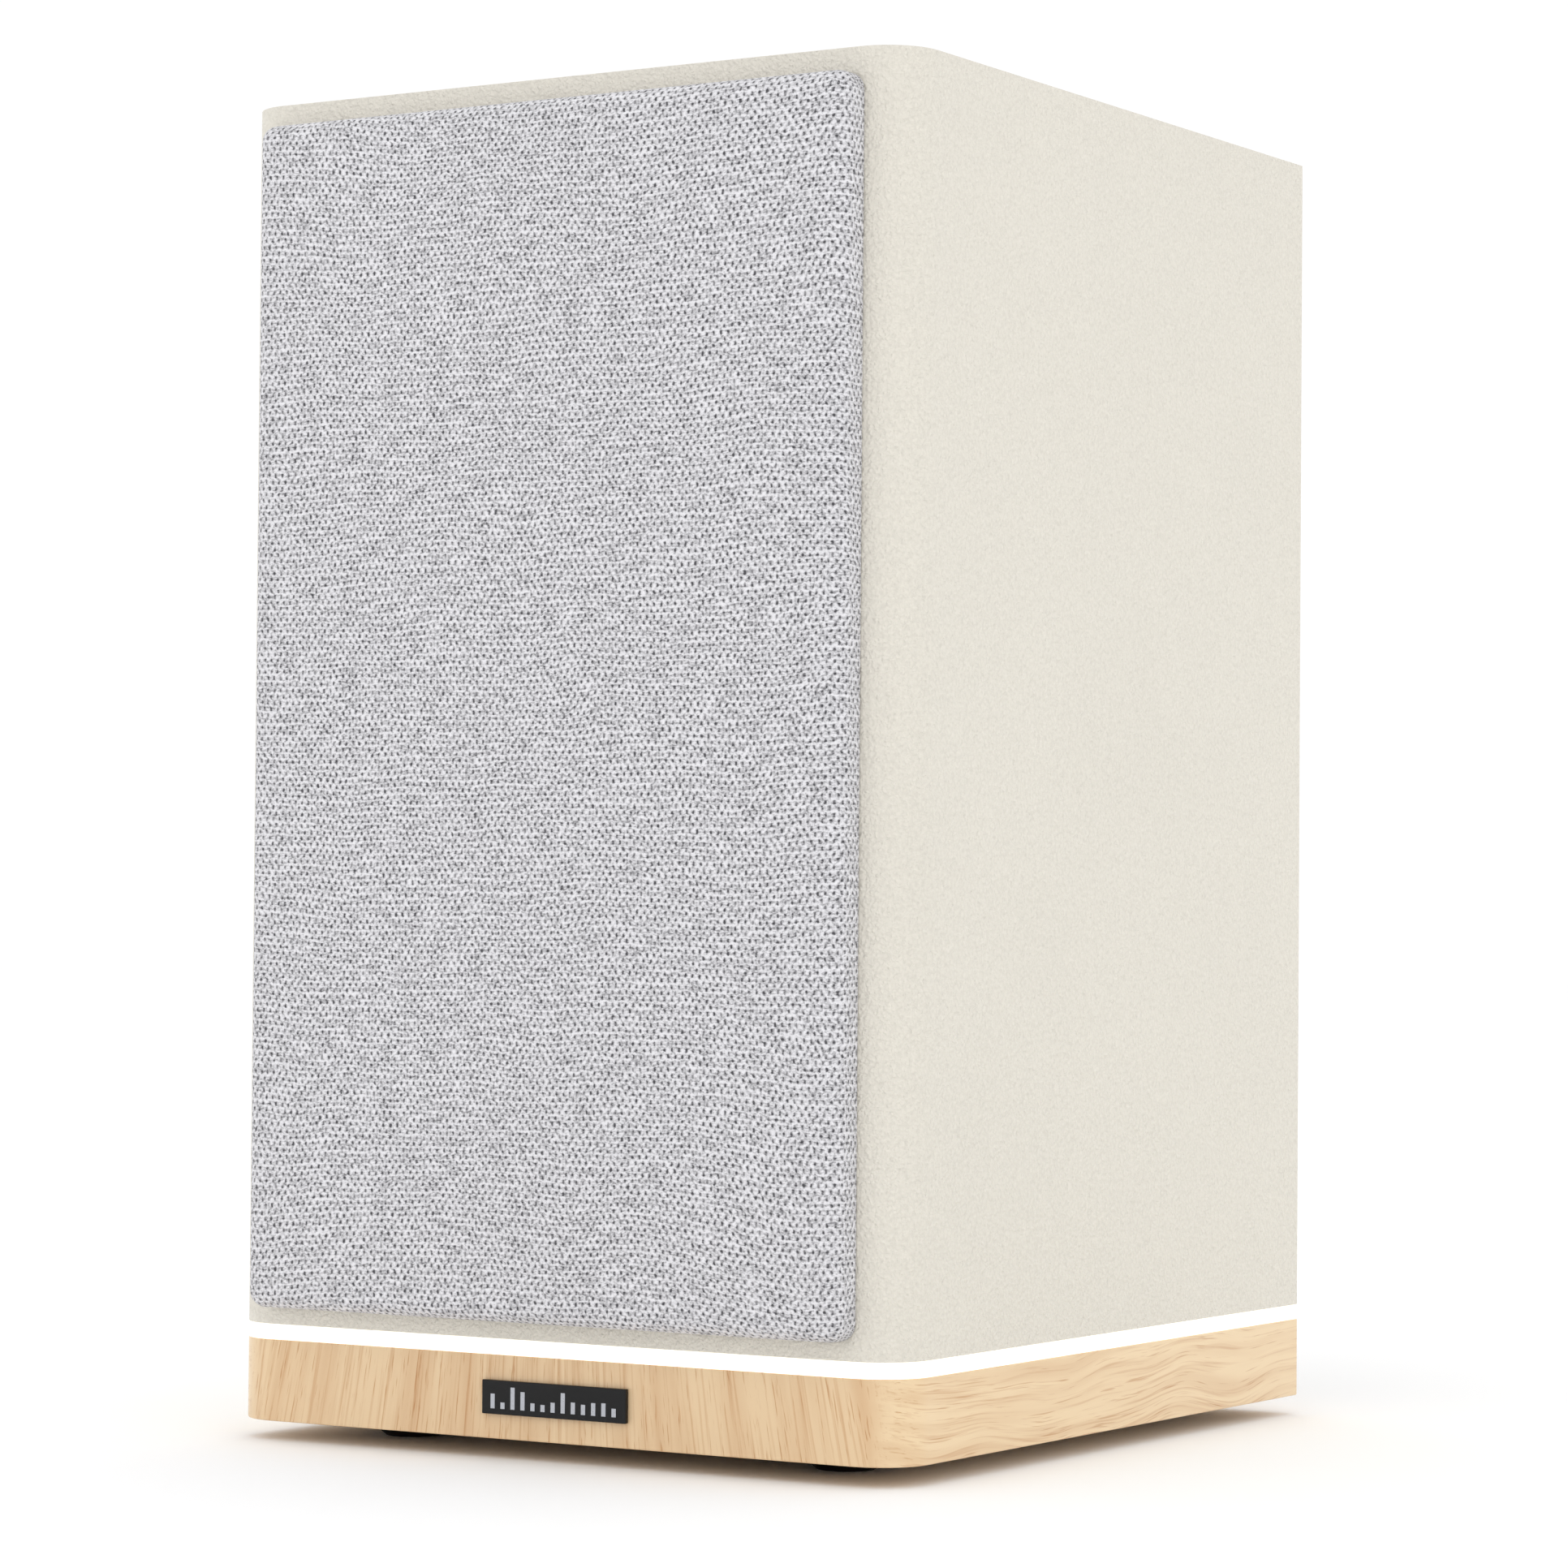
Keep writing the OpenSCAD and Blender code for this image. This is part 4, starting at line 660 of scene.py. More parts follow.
FELTED = (1.6, 1.6, 0.5)
FINISHES = {
    "cream_vinyl": made_by(leather_grain_vinyl),
    # Raw fibreboard: felted and matt, flecked light and dark
    "mdf": made_by(fibrous, "#b89468", 0.85, ("#846b4b", "#e0b57f"), 0.05, FELTED),
    # Melamine-faced board: flat black with a light orange-peel
    "black_board": made_by(moulded, "#1a1a1b", 0.55, 0.9, 0.03),
    # Polyester wadding: a white fleece of tangled fibres, soft in the light
    "wadding": made_by(
        fibrous, "#e4e1da", 0.95, ("#b9b5aa", "#fbfaf6"), 0.7, scale=0.9, detail=6.0, tangle=0.8, warp=1.4,
        Sheen_Weight=0.5, Sheen_Roughness=0.6,
    ),
    "light_diffuser": made_by(opal_diffuser),
    # LED tape: white solder mask and moulded white lamps
    "led_tape": made_by(moulded, "#efece0", 0.45, Emission_Strength=0.8, Emission_Color=(1.0, 0.97, 0.88, 1.0)),
    # PVC-insulated wire: soft, slightly shiny
    "wire_grey": made_by(moulded, "#4a4c50", 0.4, depth=0.01),
    "wire_red": made_by(moulded, "#b3241f", 0.38, depth=0.01),
    "wire_blue": made_by(moulded, "#27569e", 0.38, depth=0.01),
    "pale_wood": made_by(pale_wood),
    # Zinc-plated steel screw: bluish and bright
    "screw_steel": made_by(metal, "#b9bcc2", 0.32),
    # Black-oxide steel: dark, with a dull metallic sheen
    "black_screw": made_by(metal, "#2a2a2d", 0.42),
    # Moulded rubber: deep brown-black and matt
    "foot_rubber": made_by(moulded, "#18120f", 0.75, 0.5, 0.05, Specular_IOR_Level=0.3),
    # Gloss acrylic: near-black and mirror-smooth
    "badge_black": made_by(moulded, "#070708", 0.15, depth=0.002, gloss_spread=0.05, Specular_IOR_Level=0.3),
    # Grained ABS frame: black and matt
    "grille_plastic": made_by(moulded, "#1b1b1d", 0.6, depth=0.04),
    "grille_cloth": made_by(melange_knit),
    # Nickel-plated magnet: bright and smooth
    "magnet_plate": made_by(metal, "#c3c2bd", 0.22),
    # Closed-cell foam gasket: black, matt and pitted
    "foam": made_by(moulded, "#242426", 0.95, 0.5, 0.2),
    # Powder-coated steel: fine orange-peel, low sheen
    "black_metal": made_by(moulded, "#18181a", 0.48, 0.7, 0.045, Specular_IOR_Level=0.55),
    # Butyl rubber roll: smooth with a soft sheen
    "surround_rubber": made_by(moulded, "#151517", 0.42, depth=0.008),
    # Pressed paper pulp, dyed black: short fibres without a shine
    "cone_paper": made_by(
        fibrous, "#2b2c2f", 0.72, ("#1e1f21", "#404246"), 0.07, scale=1.1, detail=5.0, warp=0.8, Sheen_Weight=0.15
    ),
    # Resin-dipped cotton: amber cloth, slightly shiny
    "spider_cloth": made_by(plain_weave, "#b98a3f", pitch=0.7, roughness=0.5),
    # Kraft paper former: brown, matt
    "former_paper": made_by(fibrous, "#8d5f33", 0.85, ("#664425", "#ac743e"), 0.05, FELTED),
    # Enamelled copper wire: warm metal under clear lacquer
    "copper_winding": made_by(metal, "#c46a35", 0.22, Coat_Weight=0.7),
    # Zinc-plated iron: grey, with turning marks
    "plated_iron": made_by(metal, "#a9aaad", 0.36, depth=0.01),
    # Sintered ferrite: dark grey ceramic with fine pits
    "ferrite": made_by(moulded, "#37383b", 0.7, 0.35, 0.06),
    # Injection-moulded ABS: black with a soft sheen
    "black_plastic": made_by(moulded, "#17171a", 0.42, depth=0.02),
    # Doped silk dome: sheer weave, tacky shine
    "silk": made_by(plain_weave, "#2a2a2f", pitch=0.4, depth=0.04, roughness=0.36),
    "circuit_board": made_by(circuit_board),
    # Bare brass: warm yellow metal with tool marks
    "brass": made_by(metal, "#cfae58", 0.28),
    # Extruded aluminium: long die lines
    "aluminium": made_by(metal, "#b4b6b8", 0.34, brush=(1.0, 1.0, 0.06)),
    # Varnished laminated core: dark with a half gloss
    "transformer_core": made_by(moulded, "#3b3833", 0.5, 0.5, 0.05),
    # Shrink sleeve: dark blue, shiny film
    "capacitor_sleeve": made_by(moulded, "#20304e", 0.28, depth=0.006),
    # Nickel plate: pale and bright, a trace warm
    "nickel": made_by(metal, "#c9c8c4", 0.2),
    # Gold flash over nickel: deep yellow and bright
    "gold_plate": made_by(metal, "#d8b256", 0.18),
    # Translucent polycarbonate caps, tinted through
    "cap_red": made_by(moulded, "#b3161d", 0.25, depth=0.006, Coat_Weight=0.3),
    "cap_black": made_by(moulded, "#131315", 0.25, depth=0.006, Coat_Weight=0.3),
    # Tin-plated steel can: grey and dull
    "pot_housing": made_by(metal, "#8c9298", 0.45),
    # Natural acetal: milky off-white
    "rotor_plastic": made_by(moulded, "#e2ddcf", 0.45),
    # Bead-blasted, anodised aluminium: grey and satin
    "knob_metal": made_by(metal, "#8f9297", 0.33, depth=0.012),
    # White ABS, also the printing ink: clean white with a soft sheen
    "button_plastic": made_by(moulded, "#ececea", 0.35, depth=0.01),
}


# ---------- cabinet and base ----------


class SPEAKER_OT_cabinet(bpy.types.Operator):
    """Wraps the carcass in vinyl and lays its boards"""

    bl_idname = "speaker.cabinet"
    bl_label = "Cabinet"

    def execute(self, context):
        eased(vinyl_wrap=0.7, cabinet_sleeve=0.25, front_baffle=0.25, rear_panel=0.25)
        return {"FINISHED"}


class SPEAKER_OT_wadding(bpy.types.Operator):
    """Lays a fluffy wadding pad under the top board, flat above and crowned below"""

    bl_idname = "speaker.wadding"
    bl_label = "Wadding"

    def execute(self, context):
        low, high = box("damping_pad")
        size = high - low
        bm = bmesh.new()
        bmesh.ops.create_cube(bm, size=1)
        bmesh.ops.subdivide_edges(bm, edges=bm.edges, cuts=31, use_grid_fill=True)
        for v in bm.verts:
            u = Vector((v.co.x * 2, v.co.y * 2, v.co.z * 2))
            edge = (1 - abs(u.x) ** 8) * (1 - abs(u.y) ** 8)
            lump = 0.5 + 0.5 * noise.fractal(Vector((u.x * 4, u.y * 5, 3.0)), 1.0, 2.0, 4)
            swell = 0.42 + 0.46 * edge + 0.12 * edge * lump
            depth = (1 - u.z) / 2 * size.z * min(swell, 1.0)
            rim = 1 - 0.02 * abs(u.z) ** 4
            v.co = Vector((u.x * size.x / 2 * rim, u.y * size.y / 2 * rim, high.z - depth))
            v.co += Vector(((low.x + high.x) / 2, (low.y + high.y) / 2, 0))
        pad = piece("wadding_pad", mesh_of(bm), "root", "wadding", ["damping_pad"], smooth=180)
        return {"FINISHED"}


class SPEAKER_OT_plinth(bpy.types.Operator):
    """Makes the wood plinth with its softened edges"""

    bl_idname = "speaker.plinth"
    bl_label = "Plinth"

    def execute(self, context):
        eased(plinth=0.9)
        return {"FINISHED"}


class SPEAKER_OT_band(bpy.types.Operator):
    """Makes the lit band, and the tape of lamps behind it"""

    bl_idname = "speaker.band"
    bl_label = "Lit band"

    def execute(self, context):
        sizes = context.scene.speaker_sizes
        eased(light_guide=0.35)
        low, high = box("led_strip")
        # The tape stands just outside the plinth's core, and its front corners follow the core's
        lamp = Vector((2.8, 1.2, 2.0)) * MM
        inset = lamp.y / 2 + 0.2 * MM
        z = (low.z + high.z) / 2
        bm = bmesh.new()
        loop = []
        r = 2.0 * MM
        for sx, sy, first in ((1, -1, 270), (1, 1, 0), (-1, 1, 90), (-1, -1, 180)):
            cx = sx * (high.x - inset - r)
            cy = (high.y - inset - r) if sy > 0 else (low.y + inset + r)
            for k in range(5):
                a = math.radians(first + 22.5 * k)
                loop.append(bm.verts.new((cx + r * math.cos(a), cy + r * math.sin(a), z)))
        for a, b in zip(loop, loop[1:] + loop[:1]):
            bm.edges.new((a, b))
        path, white = mesh_of(bm, turn_out=False), finish("led_tape")
        tape = grown(lamps_tree(), path, Pitch=sizes.led_pitch, Lamp=lamp, Ribbon=2.6 * MM, Material=white)
        piece("lamp_tape", tape, "root", "led_tape", ["led_strip"])
        return {"FINISHED"}


class SPEAKER_OT_badge(bpy.types.Operator):
    """Makes the badge: a gloss plate with a plain mark of level bars"""

    bl_idname = "speaker.badge"
    bl_label = "Badge"

    def execute(self, context):
        eased(badge=0.25)
        low, high = box("badge")
        size = high - low
        bars = 13
        step = (size.x - 6 * MM) / (bars - 1)
        row = grown(
            row_tree(),
            Count=bars,
            Step=(step, 0, 0),
            Size=(1.1 * MM, 0.14 * MM, size.z - 2.6 * MM),
            Vary=0.72,
            Seed=9,
            Material=finish("screw_steel"),
        )
        row.transform(Matrix.Translation((low.x + 3 * MM, low.y - 0.02 * MM, low.z + 1.3 * MM)))
        piece("badge_bars", row, "root", "screw_steel")
        return {"FINISHED"}


class SPEAKER_OT_feet(bpy.types.Operator):
    """Makes the rubber feet"""

    bl_idname = "speaker.feet"
    bl_label = "Feet"

    def execute(self, context):
        eased(feet=0.3)
        return {"FINISHED"}


# ---------- grille ----------


class SPEAKER_OT_grille_cloth(bpy.types.Operator):
    """Stretches the cloth over the grille's front, round its edges and in behind them"""

    bl_idname = "speaker.grille_cloth"
    bl_label = "Grille cloth"

    def execute(self, context):
        sizes = context.scene.speaker_sizes
        r, turn_in, pull = sizes.cloth_edge, sizes.turn_in, sizes.corner_pull
        centre = (GRILLE_LOW + GRILLE_HIGH) / 2
        half = Vector(((GRILLE_HIGH.x - GRILLE_LOW.x) / 2 - r, (GRILLE_HIGH.z - GRILLE_LOW.z) / 2 - r))
        depth = GRILLE_HIGH.y - GRILLE_LOW.y
        columns, rows, fan = 48, 82, 6
        bm = bmesh.new()
        lay = bm.loops.layers.uv.new("cloth")
        flat = {}

        def point(x, z, back, u, v):
            made = bm.verts.new((centre.x + x, GRILLE_LOW.y + back, centre.z + z))
            flat[made] = (u, v)
            return made

        # The flat front, then rings that start from its rim
        across = [half.x * (2 * i / columns - 1) for i in range(columns + 1)]
        upward = [half.y * (2 * j / rows - 1) for j in range(rows + 1)]
        grid = [[point(x, z, 0, x, z) for x in across] for z in upward]
        for j in range(rows):
            for i in range(columns):
                bm.faces.new([grid[j][i], grid[j][i + 1], grid[j + 1][i + 1], grid[j + 1][i]])
        rim = []
        edges = (
            ([grid[0][i] for i in range(columns)], -90),
            ([grid[j][columns] for j in range(rows)], 0),
            ([grid[rows][i] for i in range(columns, 0, -1)], 90),
            ([grid[j][0] for j in range(rows, 0, -1)], 180),
        )
        for verts, angle in edges:
            rim += [(verts[0], math.radians(angle - 90 + 90 * k / fan)) for k in range(fan)]
            rim += [(v, math.radians(angle)) for v in verts]
        # (how far out from the rim, how far back, how much cloth has been used)
        steps = [(r * math.sin(a), r * (1 - math.cos(a)), r * a) for a in (math.pi / 16 * k for k in range(1, 9))]
        used = math.pi / 2 * r
        side = depth - r - 0.15 * MM
        steps += [(r, r + side * t, used + side * t) for t in (0.33, 0.66, 1.0)]
        used += side
        steps += [(r - 0.15 * MM, depth, used + 0.2 * MM)]
        steps += [(r - turn_in * t, depth, used + 0.2 * MM + turn_in * t) for t in (0.5, 1.0)]
        last = [v for v, _ in rim]
        for out, back, length in steps:
            ring = []
            for start_at, angle in rim:
                x, z = start_at.co.x - centre.x, start_at.co.z - centre.z
                ux, uz = math.cos(angle), math.sin(angle)
                ring.append(point(x + out * ux, z + out * uz, back, x + length * ux, z + length * uz))
            for k in range(len(ring)):
                n = (k + 1) % len(ring)
                corners = list(dict.fromkeys([last[k], ring[k], ring[n], last[n]]))
                bm.faces.new(corners)
            last = ring
        # Rows are pulled towards the corners, where the cloth was drawn tight
        for face in bm.faces:
            for loop in face.loops:
                u, v = flat[loop.vert]
                du = dv = 0.0
                for sx in (-1, 1):
                    for sz in (-1, 1):
                        near = math.exp(-(((u - sx * half.x) / 0.03) ** 2 + ((v - sz * half.y) / 0.045) ** 2))
                        du -= sx * near * pull * 0.6
                        dv -= sz * near * pull
                loop[lay].uv = (u + du, v + dv)
        bmesh.ops.recalc_face_normals(bm, faces=bm.faces)
        if sum((f.normal.y for f in bm.faces if abs(f.normal.y) > 0.9), 0.0) > 0:
            bmesh.ops.reverse_faces(bm, faces=bm.faces)
        cloth = piece(
            "grille_cloth", mesh_of(bm, turn_out=False), "grille", "grille_cloth", ["grille_fabric"], smooth=180
        )
        thick = cloth.modifiers.new("cloth", "SOLIDIFY")
        thick.thickness, thick.offset = 0.6 * MM, -1
        return {"FINISHED"}


class SPEAKER_OT_grille_frame(bpy.types.Operator):
    """Makes the grille's moulded frame, its magnets, and the ones they meet in the baffle"""

    bl_idname = "speaker.grille_frame"
    bl_label = "Grille frame"

    def execute(self, context):
        eased(grille_frame=0.3, grille_magnets=0.2, baffle_magnets=0.2)
        return {"FINISHED"}


# ---------- drivers ----------


def radial_blend(obj, moving, place, inner, outer):
    """Makes a ring follow the moving body at its inner radius and the cabinet at its outer one."""
    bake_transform(obj, "root", moving, start=place @ Vector((outer * MM, 0, 0)), end=place @ Vector((inner * MM, 0, 0)))
    back = place.inverted()
    share = obj.data.attributes["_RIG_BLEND"]
    for i, v in enumerate(obj.data.vertices):
        local = back @ v.co
        t = (outer * MM - math.hypot(local.x, local.y)) / ((outer - inner) * MM)
        t = min(max(t, 0.0), 1.0)
        share.data[i].value = t * t * (3 - 2 * t)


def roll_outline(inner, mid, roll, outer, base, t):
    """The outline of a half-roll with a flange on each side."""

    def arc(radius, a0, a1):
        angles = [math.radians(a0 + (a1 - a0) * k / 12) for k in range(13)]
        return [(mid + radius * math.cos(a), base + radius * math.sin(a)) for a in angles]

    flanges = [(outer, base), (outer, base + t)], [(inner, base + t), (inner, base)]
    return flanges[0] + arc(roll, 8, 172) + flanges[1] + arc(roll - t, 180, 0)


class SPEAKER_OT_woofer(bpy.types.Operator):
    """Dresses the woofer's basket, cone, cap and motor"""

    bl_idname = "speaker.woofer"
    bl_label = "Woofer"

    def execute(self, context):
        eased(woofer_basket=0.4, woofer_gasket=0.1, woofer_top_plate=0.4, woofer_magnet=0.8, woofer_yoke=0.6)
        eased(woofer_cone=0, coil_former=0)
        # The cap is redrawn with a rolled rim
        low, high = box("dust_cap")
        base, top = (FRONT_Y - high.y) / MM, (FRONT_Y - low.y) / MM
        wide = (high.x - low.x) / 2 / MM
        ball = (wide * wide + (top - base) ** 2) / (2 * (top - base))
        reach = math.asin(min(wide / ball, 1))
        angles = [reach * (1 - k / 16) for k in range(17)]
        outer = [(ball * math.sin(a) if a else 0, top - ball + ball * math.cos(a)) for a in angles]
        inner = [(max(r - 0.5, 0) if r > 0.6 else 0, z - 0.55) for r, z in reversed(outer)]
        inner = [(r, max(z, base)) for r, z in inner]
        piece(
            "dust_cap_made", lathe(outer + inner, WOOFER), BODIES["dust_cap"], "cone_paper", ["dust_cap"], smooth=60
        )
        return {"FINISHED"}


class SPEAKER_OT_woofer_suspension(bpy.types.Operator):
    """Makes the rubber roll and the corrugated spider, which stretch as the cone moves"""

    bl_idname = "speaker.woofer_suspension"
    bl_label = "Woofer suspension"

    def execute(self, context):
        # Half-roll: flange on the basket outside, lip on the cone inside
        outline = roll_outline(inner=42.55, mid=48.7, roll=4.2, outer=56.4, base=-1.4, t=0.8)
        roll = lathe(outline, WOOFER, steps=128)
        roll = piece("woofer_roll", roll, None, "surround_rubber", ["woofer_surround"])
        radial_blend(roll, "woofer_moving", WOOFER, inner=45.0, outer=52.4)
        # Spider: four waves between the former and a flat rim, in 72 steps
        inner, outer, rim, waves, count, top, under = 13.1, 35.5, 39.4, 4, 72, -30.5, -30.92

        def rise(r):
            return 1.2 * math.sin(math.tau * waves * (r - inner) / (outer - inner)) if r < outer else 0.0

        radii = [inner + (outer - inner) * k / count for k in range(count + 1)] + [rim]
        upper = [(r, top + rise(r)) for r in radii]
        lower = [(r, under + rise(r)) for r in reversed(radii)]
        spider = piece("woofer_spider_made", lathe(upper + lower, WOOFER), None, "spider_cloth", ["woofer_spider"])
        radial_blend(spider, "woofer_moving", WOOFER, 14.5, outer)
        return {"FINISHED"}


class SPEAKER_OT_coils(bpy.types.Operator):
    """Winds the two voice coils"""

    bl_idname = "speaker.coils"
    bl_label = "Voice coils"

    def execute(self, context):
        tree = winding_tree()
        # Real wire is about 0.2 mm thick; it is drawn at twice that, so that the turns show
        for node, place, wire in (("voice_coil", WOOFER, 0.2), ("tweeter_coil", TWEETER, 0.12)):
            low, high = box(node)
            radius = (high.x - low.x) / 2 - wire * MM
            long = high.y - low.y - 2 * wire * MM
            coil = grown(
                tree,
                Turns=long / (2 * wire * MM),
                Radius=radius,
                Height=long,
                Wire_radius=wire * MM,
                Material=finish("copper_winding"),
            )
            coil.transform(place @ Matrix.Translation((0, 0, FRONT_Y - high.y + wire * MM)))
            piece(f"{node}_wound", coil, BODIES[node], "copper_winding", [node], smooth=180)
        return {"FINISHED"}


class SPEAKER_OT_tweeter(bpy.types.Operator):
    """Dresses the tweeter, its dome and the little roll around it"""

    bl_idname = "speaker.tweeter"
    bl_label = "Tweeter"

    def execute(self, context):
        eased(tweeter_faceplate=0.35, tweeter_dome=0, tweeter_top_plate=0.3, tweeter_magnet=0.5, tweeter_yoke=0.4)
        outline = roll_outline(inner=13.02, mid=14.3, roll=1.1, outer=16.7, base=-6.95, t=0.28)
        roll = lathe(outline, TWEETER)
        roll = piece("tweeter_roll", roll, None, "silk", ["tweeter_surround"])
        radial_blend(roll, "tweeter_moving", TWEETER, inner=13.4, outer=15.2)
        return {"FINISHED"}


class SPEAKER_OT_port(bpy.types.Operator):
    """Makes the flared port"""

    bl_idname = "speaker.port"
    bl_label = "Port"

    def execute(self, context):
        eased(port_tube=0.4)
        return {"FINISHED"}


# ---------- fixings ----------


def screw_shape(head_r, head_h, shank_r, length):
    """A pan head screw along Z, its underside at 0, with a domed top and a tapered cross recess."""
    dome = [
        (head_r * math.cos(a), head_h * (0.45 + 0.55 * math.sin(a))) for a in (math.pi / 16 * k for k in range(8))
    ]
    outline = [(0, -length)] + [
        (shank_r * 0.55, -length), (shank_r, -length + 2 * shank_r), (shank_r, 0), (head_r, 0)
    ]
    body = lathe(outline + dome + [(0, head_h)], steps=32)
    for turn in (0, 90):
        tool = block((-head_r * 0.55, -head_r * 0.11, head_h * 0.45), (head_r * 0.55, head_r * 0.11, head_h * 2))
        tool.transform(Matrix.Rotation(math.radians(turn), 4, "Z"))
        body = cut(body, tool)
    return body


class SPEAKER_OT_screws(bpy.types.Operator):
    """Drives the screws of the drivers, the amplifier plate and the plinth"""

    bl_idname = "speaker.screws"
    bl_label = "Screws"

    def execute(self, context):
        tree = screws_tree()
        sets = (
            # node, head radius, head height, shank radius, facing
            ("woofer_screws", 3.5, 2.2, 1.9, (0, -1, 0)),
            ("tweeter_screws", 2.8, 1.8, 1.4, (0, -1, 0)),
            ("amp_screws", 3.2, 2.0, 1.7, (0, 1, 0)),
            ("plinth_screws", 4.0, 2.6, 2.0, (0, 0, -1)),
        )
        for seed, (node, head_r, head_h, shank_r, facing) in enumerate(sets):
            facing = Vector(facing)
            low, high = box(node)
            long = abs((high - low).dot(facing)) / MM - head_h
            shape = linked("one screw", screw_shape(head_r, head_h, shank_r, long))
            points = bpy.data.meshes.new("screw places")
            points.from_pydata(self.places(node, facing, head_h * MM), [], [])
            mesh = grown(tree, points, Screw=shape, Facing=facing, Seed=seed, Material=finish(SLOTS[node]))
            bpy.data.objects.remove(shape)
            piece(f"{node}_driven", mesh, BODIES[node], SLOTS[node], [node])
        return {"FINISHED"}

    def places(self, node, facing, head_h):
        """The point under each screw's head, from the separate solids of a node."""
        bm = solid_of(node)
        left, found = set(bm.verts), []
        while left:
            island, queue = [], [left.pop()]
            while queue:
                v = queue.pop()
                island.append(v.co.copy())
                for edge in v.link_edges:
                    other = edge.other_vert(v)
                    if other in left:
                        left.remove(other)
                        queue.append(other)
            low = Vector(min(p[k] for p in island) for k in range(3))
            high = Vector(max(p[k] for p in island) for k in range(3))
            centre = (low + high) / 2
            top = max(p.dot(facing) for p in island)
            found.append(centre + facing * (top - head_h - centre.dot(facing)))
        bm.free()
        return sorted(found, key=lambda p: (round(p.x, 4), round(p.y, 4), round(p.z, 4)))


# ---------- amplifier ----------


class SPEAKER_OT_plate(bpy.types.Operator):
    """Makes the amplifier's plate, with printed scales round its controls"""

    bl_idname = "speaker.plate"
    bl_label = "Amplifier plate"

    def execute(self, context):
        eased(amp_plate=0.35)
        marks = bmesh.new()
        top = 2.0

        def mark(at, size, turn=0.0):
            wide, high = size[0] / 2, size[1] / 2
            place = on_plate(*at) @ Matrix.Rotation(turn, 4, "Z")
            marks.from_mesh(block((-wide, -high, top - 0.02), (wide, high, top + 0.06), place))

        # Scales: middle, distance out and number of ticks
        for at, reach, count in (((-32, 50), 14.2, 15), ((4, 50), 9.0, 11), ((32, 50), 9.0, 11)):
            for k in range(count):
                a = math.radians(230 - 280 * k / (count - 1))
                long = 2.0 if k in (0, count // 2, count - 1) else 1.2
                out = reach + long / 2
                mark((at[0] + out * math.cos(a), at[1] + out * math.sin(a)), (long, 0.45), a)
        # Minus and plus
        for x, y, upright in ((-42, -36.5, False), (-23, -36.5, True)):
            mark((x, y), (3.2, 0.6))
            if upright:
                mark((x, y), (0.6, 3.2))
        # Lines that frame the sockets, the posts and the inlet
        for left, low, right, high in ((-48, 1, 8, 23), (-52, -60, -13, -33), (-1, -65, 51, -35)):
            for y in (low, high):
                mark(((left + right) / 2, y), (right - left, 0.35))
            for x in (left, right):
                mark((x, (low + high) / 2), (0.35, high - low))
        # A lamp's rays round the button of the lit band
        for k in range(8):
            a = math.tau * k / 8
            mark((26 + 6.2 * math.cos(a), 12 + 6.2 * math.sin(a)), (1.6, 0.45), a)
        piece("plate_print", mesh_of(marks), "root", "button_plastic")
        return {"FINISHED"}


class SPEAKER_OT_sockets(bpy.types.Operator):
    """Dresses the sockets, the posts and their caps, the inlet and its rocker"""

    bl_idname = "speaker.sockets"
    bl_label = "Sockets"

    def execute(self, context):
        eased(mains_inlet=0.3, power_rocker=0.35, rca_jacks=0.3, aux_jack=0.25, binding_posts=0.3)
        eased(red_post_cap=0.25, black_post_cap=0.25)
        # Insulators that show in the mouths of the phono sockets
        for x, slot, name in ((-38, "button_plastic", "left_insulator"), (-22, "cap_red", "right_insulator")):
            ring = [(1.75, 10.5), (3.6, 10.5), (3.6, 12.06), (3.3, 12.12), (2.0, 12.12), (1.75, 12.06)]
            piece(name, lathe(ring, on_plate(x, 12), steps=48), "root", slot)
        # On and off, as a line and a ring on the two halves of the rocker
        rocker, marks = bmesh.new(), bmesh.new()
        rocker.from_mesh(frame["nodes"]["power_rocker"].data)
        surface, place = BVHTree.FromBMesh(rocker), middle("power_rocker")
        rocker.free()
        ring = lathe([(1.0, -0.05), (1.5, -0.05), (1.5, 0.04), (1.0, 0.04)], steps=32)
        for shape, up in ((block((-0.3, -1.6, -0.05), (0.3, 1.6, 0.04)), 4.4), (ring, -4.4)):
            hit, normal, _, _ = surface.ray_cast(Vector((place.x, 0.2, place.z + up * MM)), Vector((0, -1, 0)))
            shape.transform(Matrix.Translation(hit) @ normal.to_track_quat("Z", "Y").to_matrix().to_4x4())
            marks.from_mesh(shape)
        piece("rocker_marks", mesh_of(marks), BODIES["power_rocker"], "button_plastic")
        return {"FINISHED"}


class SPEAKER_OT_controls(bpy.types.Operator):
    """Dresses the knobs with their grips, and what they turn on"""

    bl_idname = "speaker.controls"
    bl_label = "Controls"

    def execute(self, context):
        eased(control_housings=0.2, encoder_rotor=0.1, volume_shaft=0.15)
        eased(volume_knob=0.5, bass_knob=0.4, treble_knob=0.4, light_button=0.4)
        tree = ring_tree()
        # Fine ribs round each knob
        for node, x, radius, low, high, count in (
            ("volume_knob", -32, 12.0, 4.6, 16.4, 72),
            ("bass_knob", 4, 7.0, 7.4, 13.0, 44),
            ("treble_knob", 32, 7.0, 7.4, 13.0, 44),
        ):
            ribs = grown(
                tree,
                Count=count,
                Radius=radius * MM,
                Rib_radius=0.22 * MM,
                Length=(high - low) * MM,
                Material=finish("knob_metal"),
                place=on_plate(x, 50, (low + high) / 2),
            )
            piece(f"{node}_grip", ribs, BODIES[node], "knob_metal")
        return {"FINISHED"}


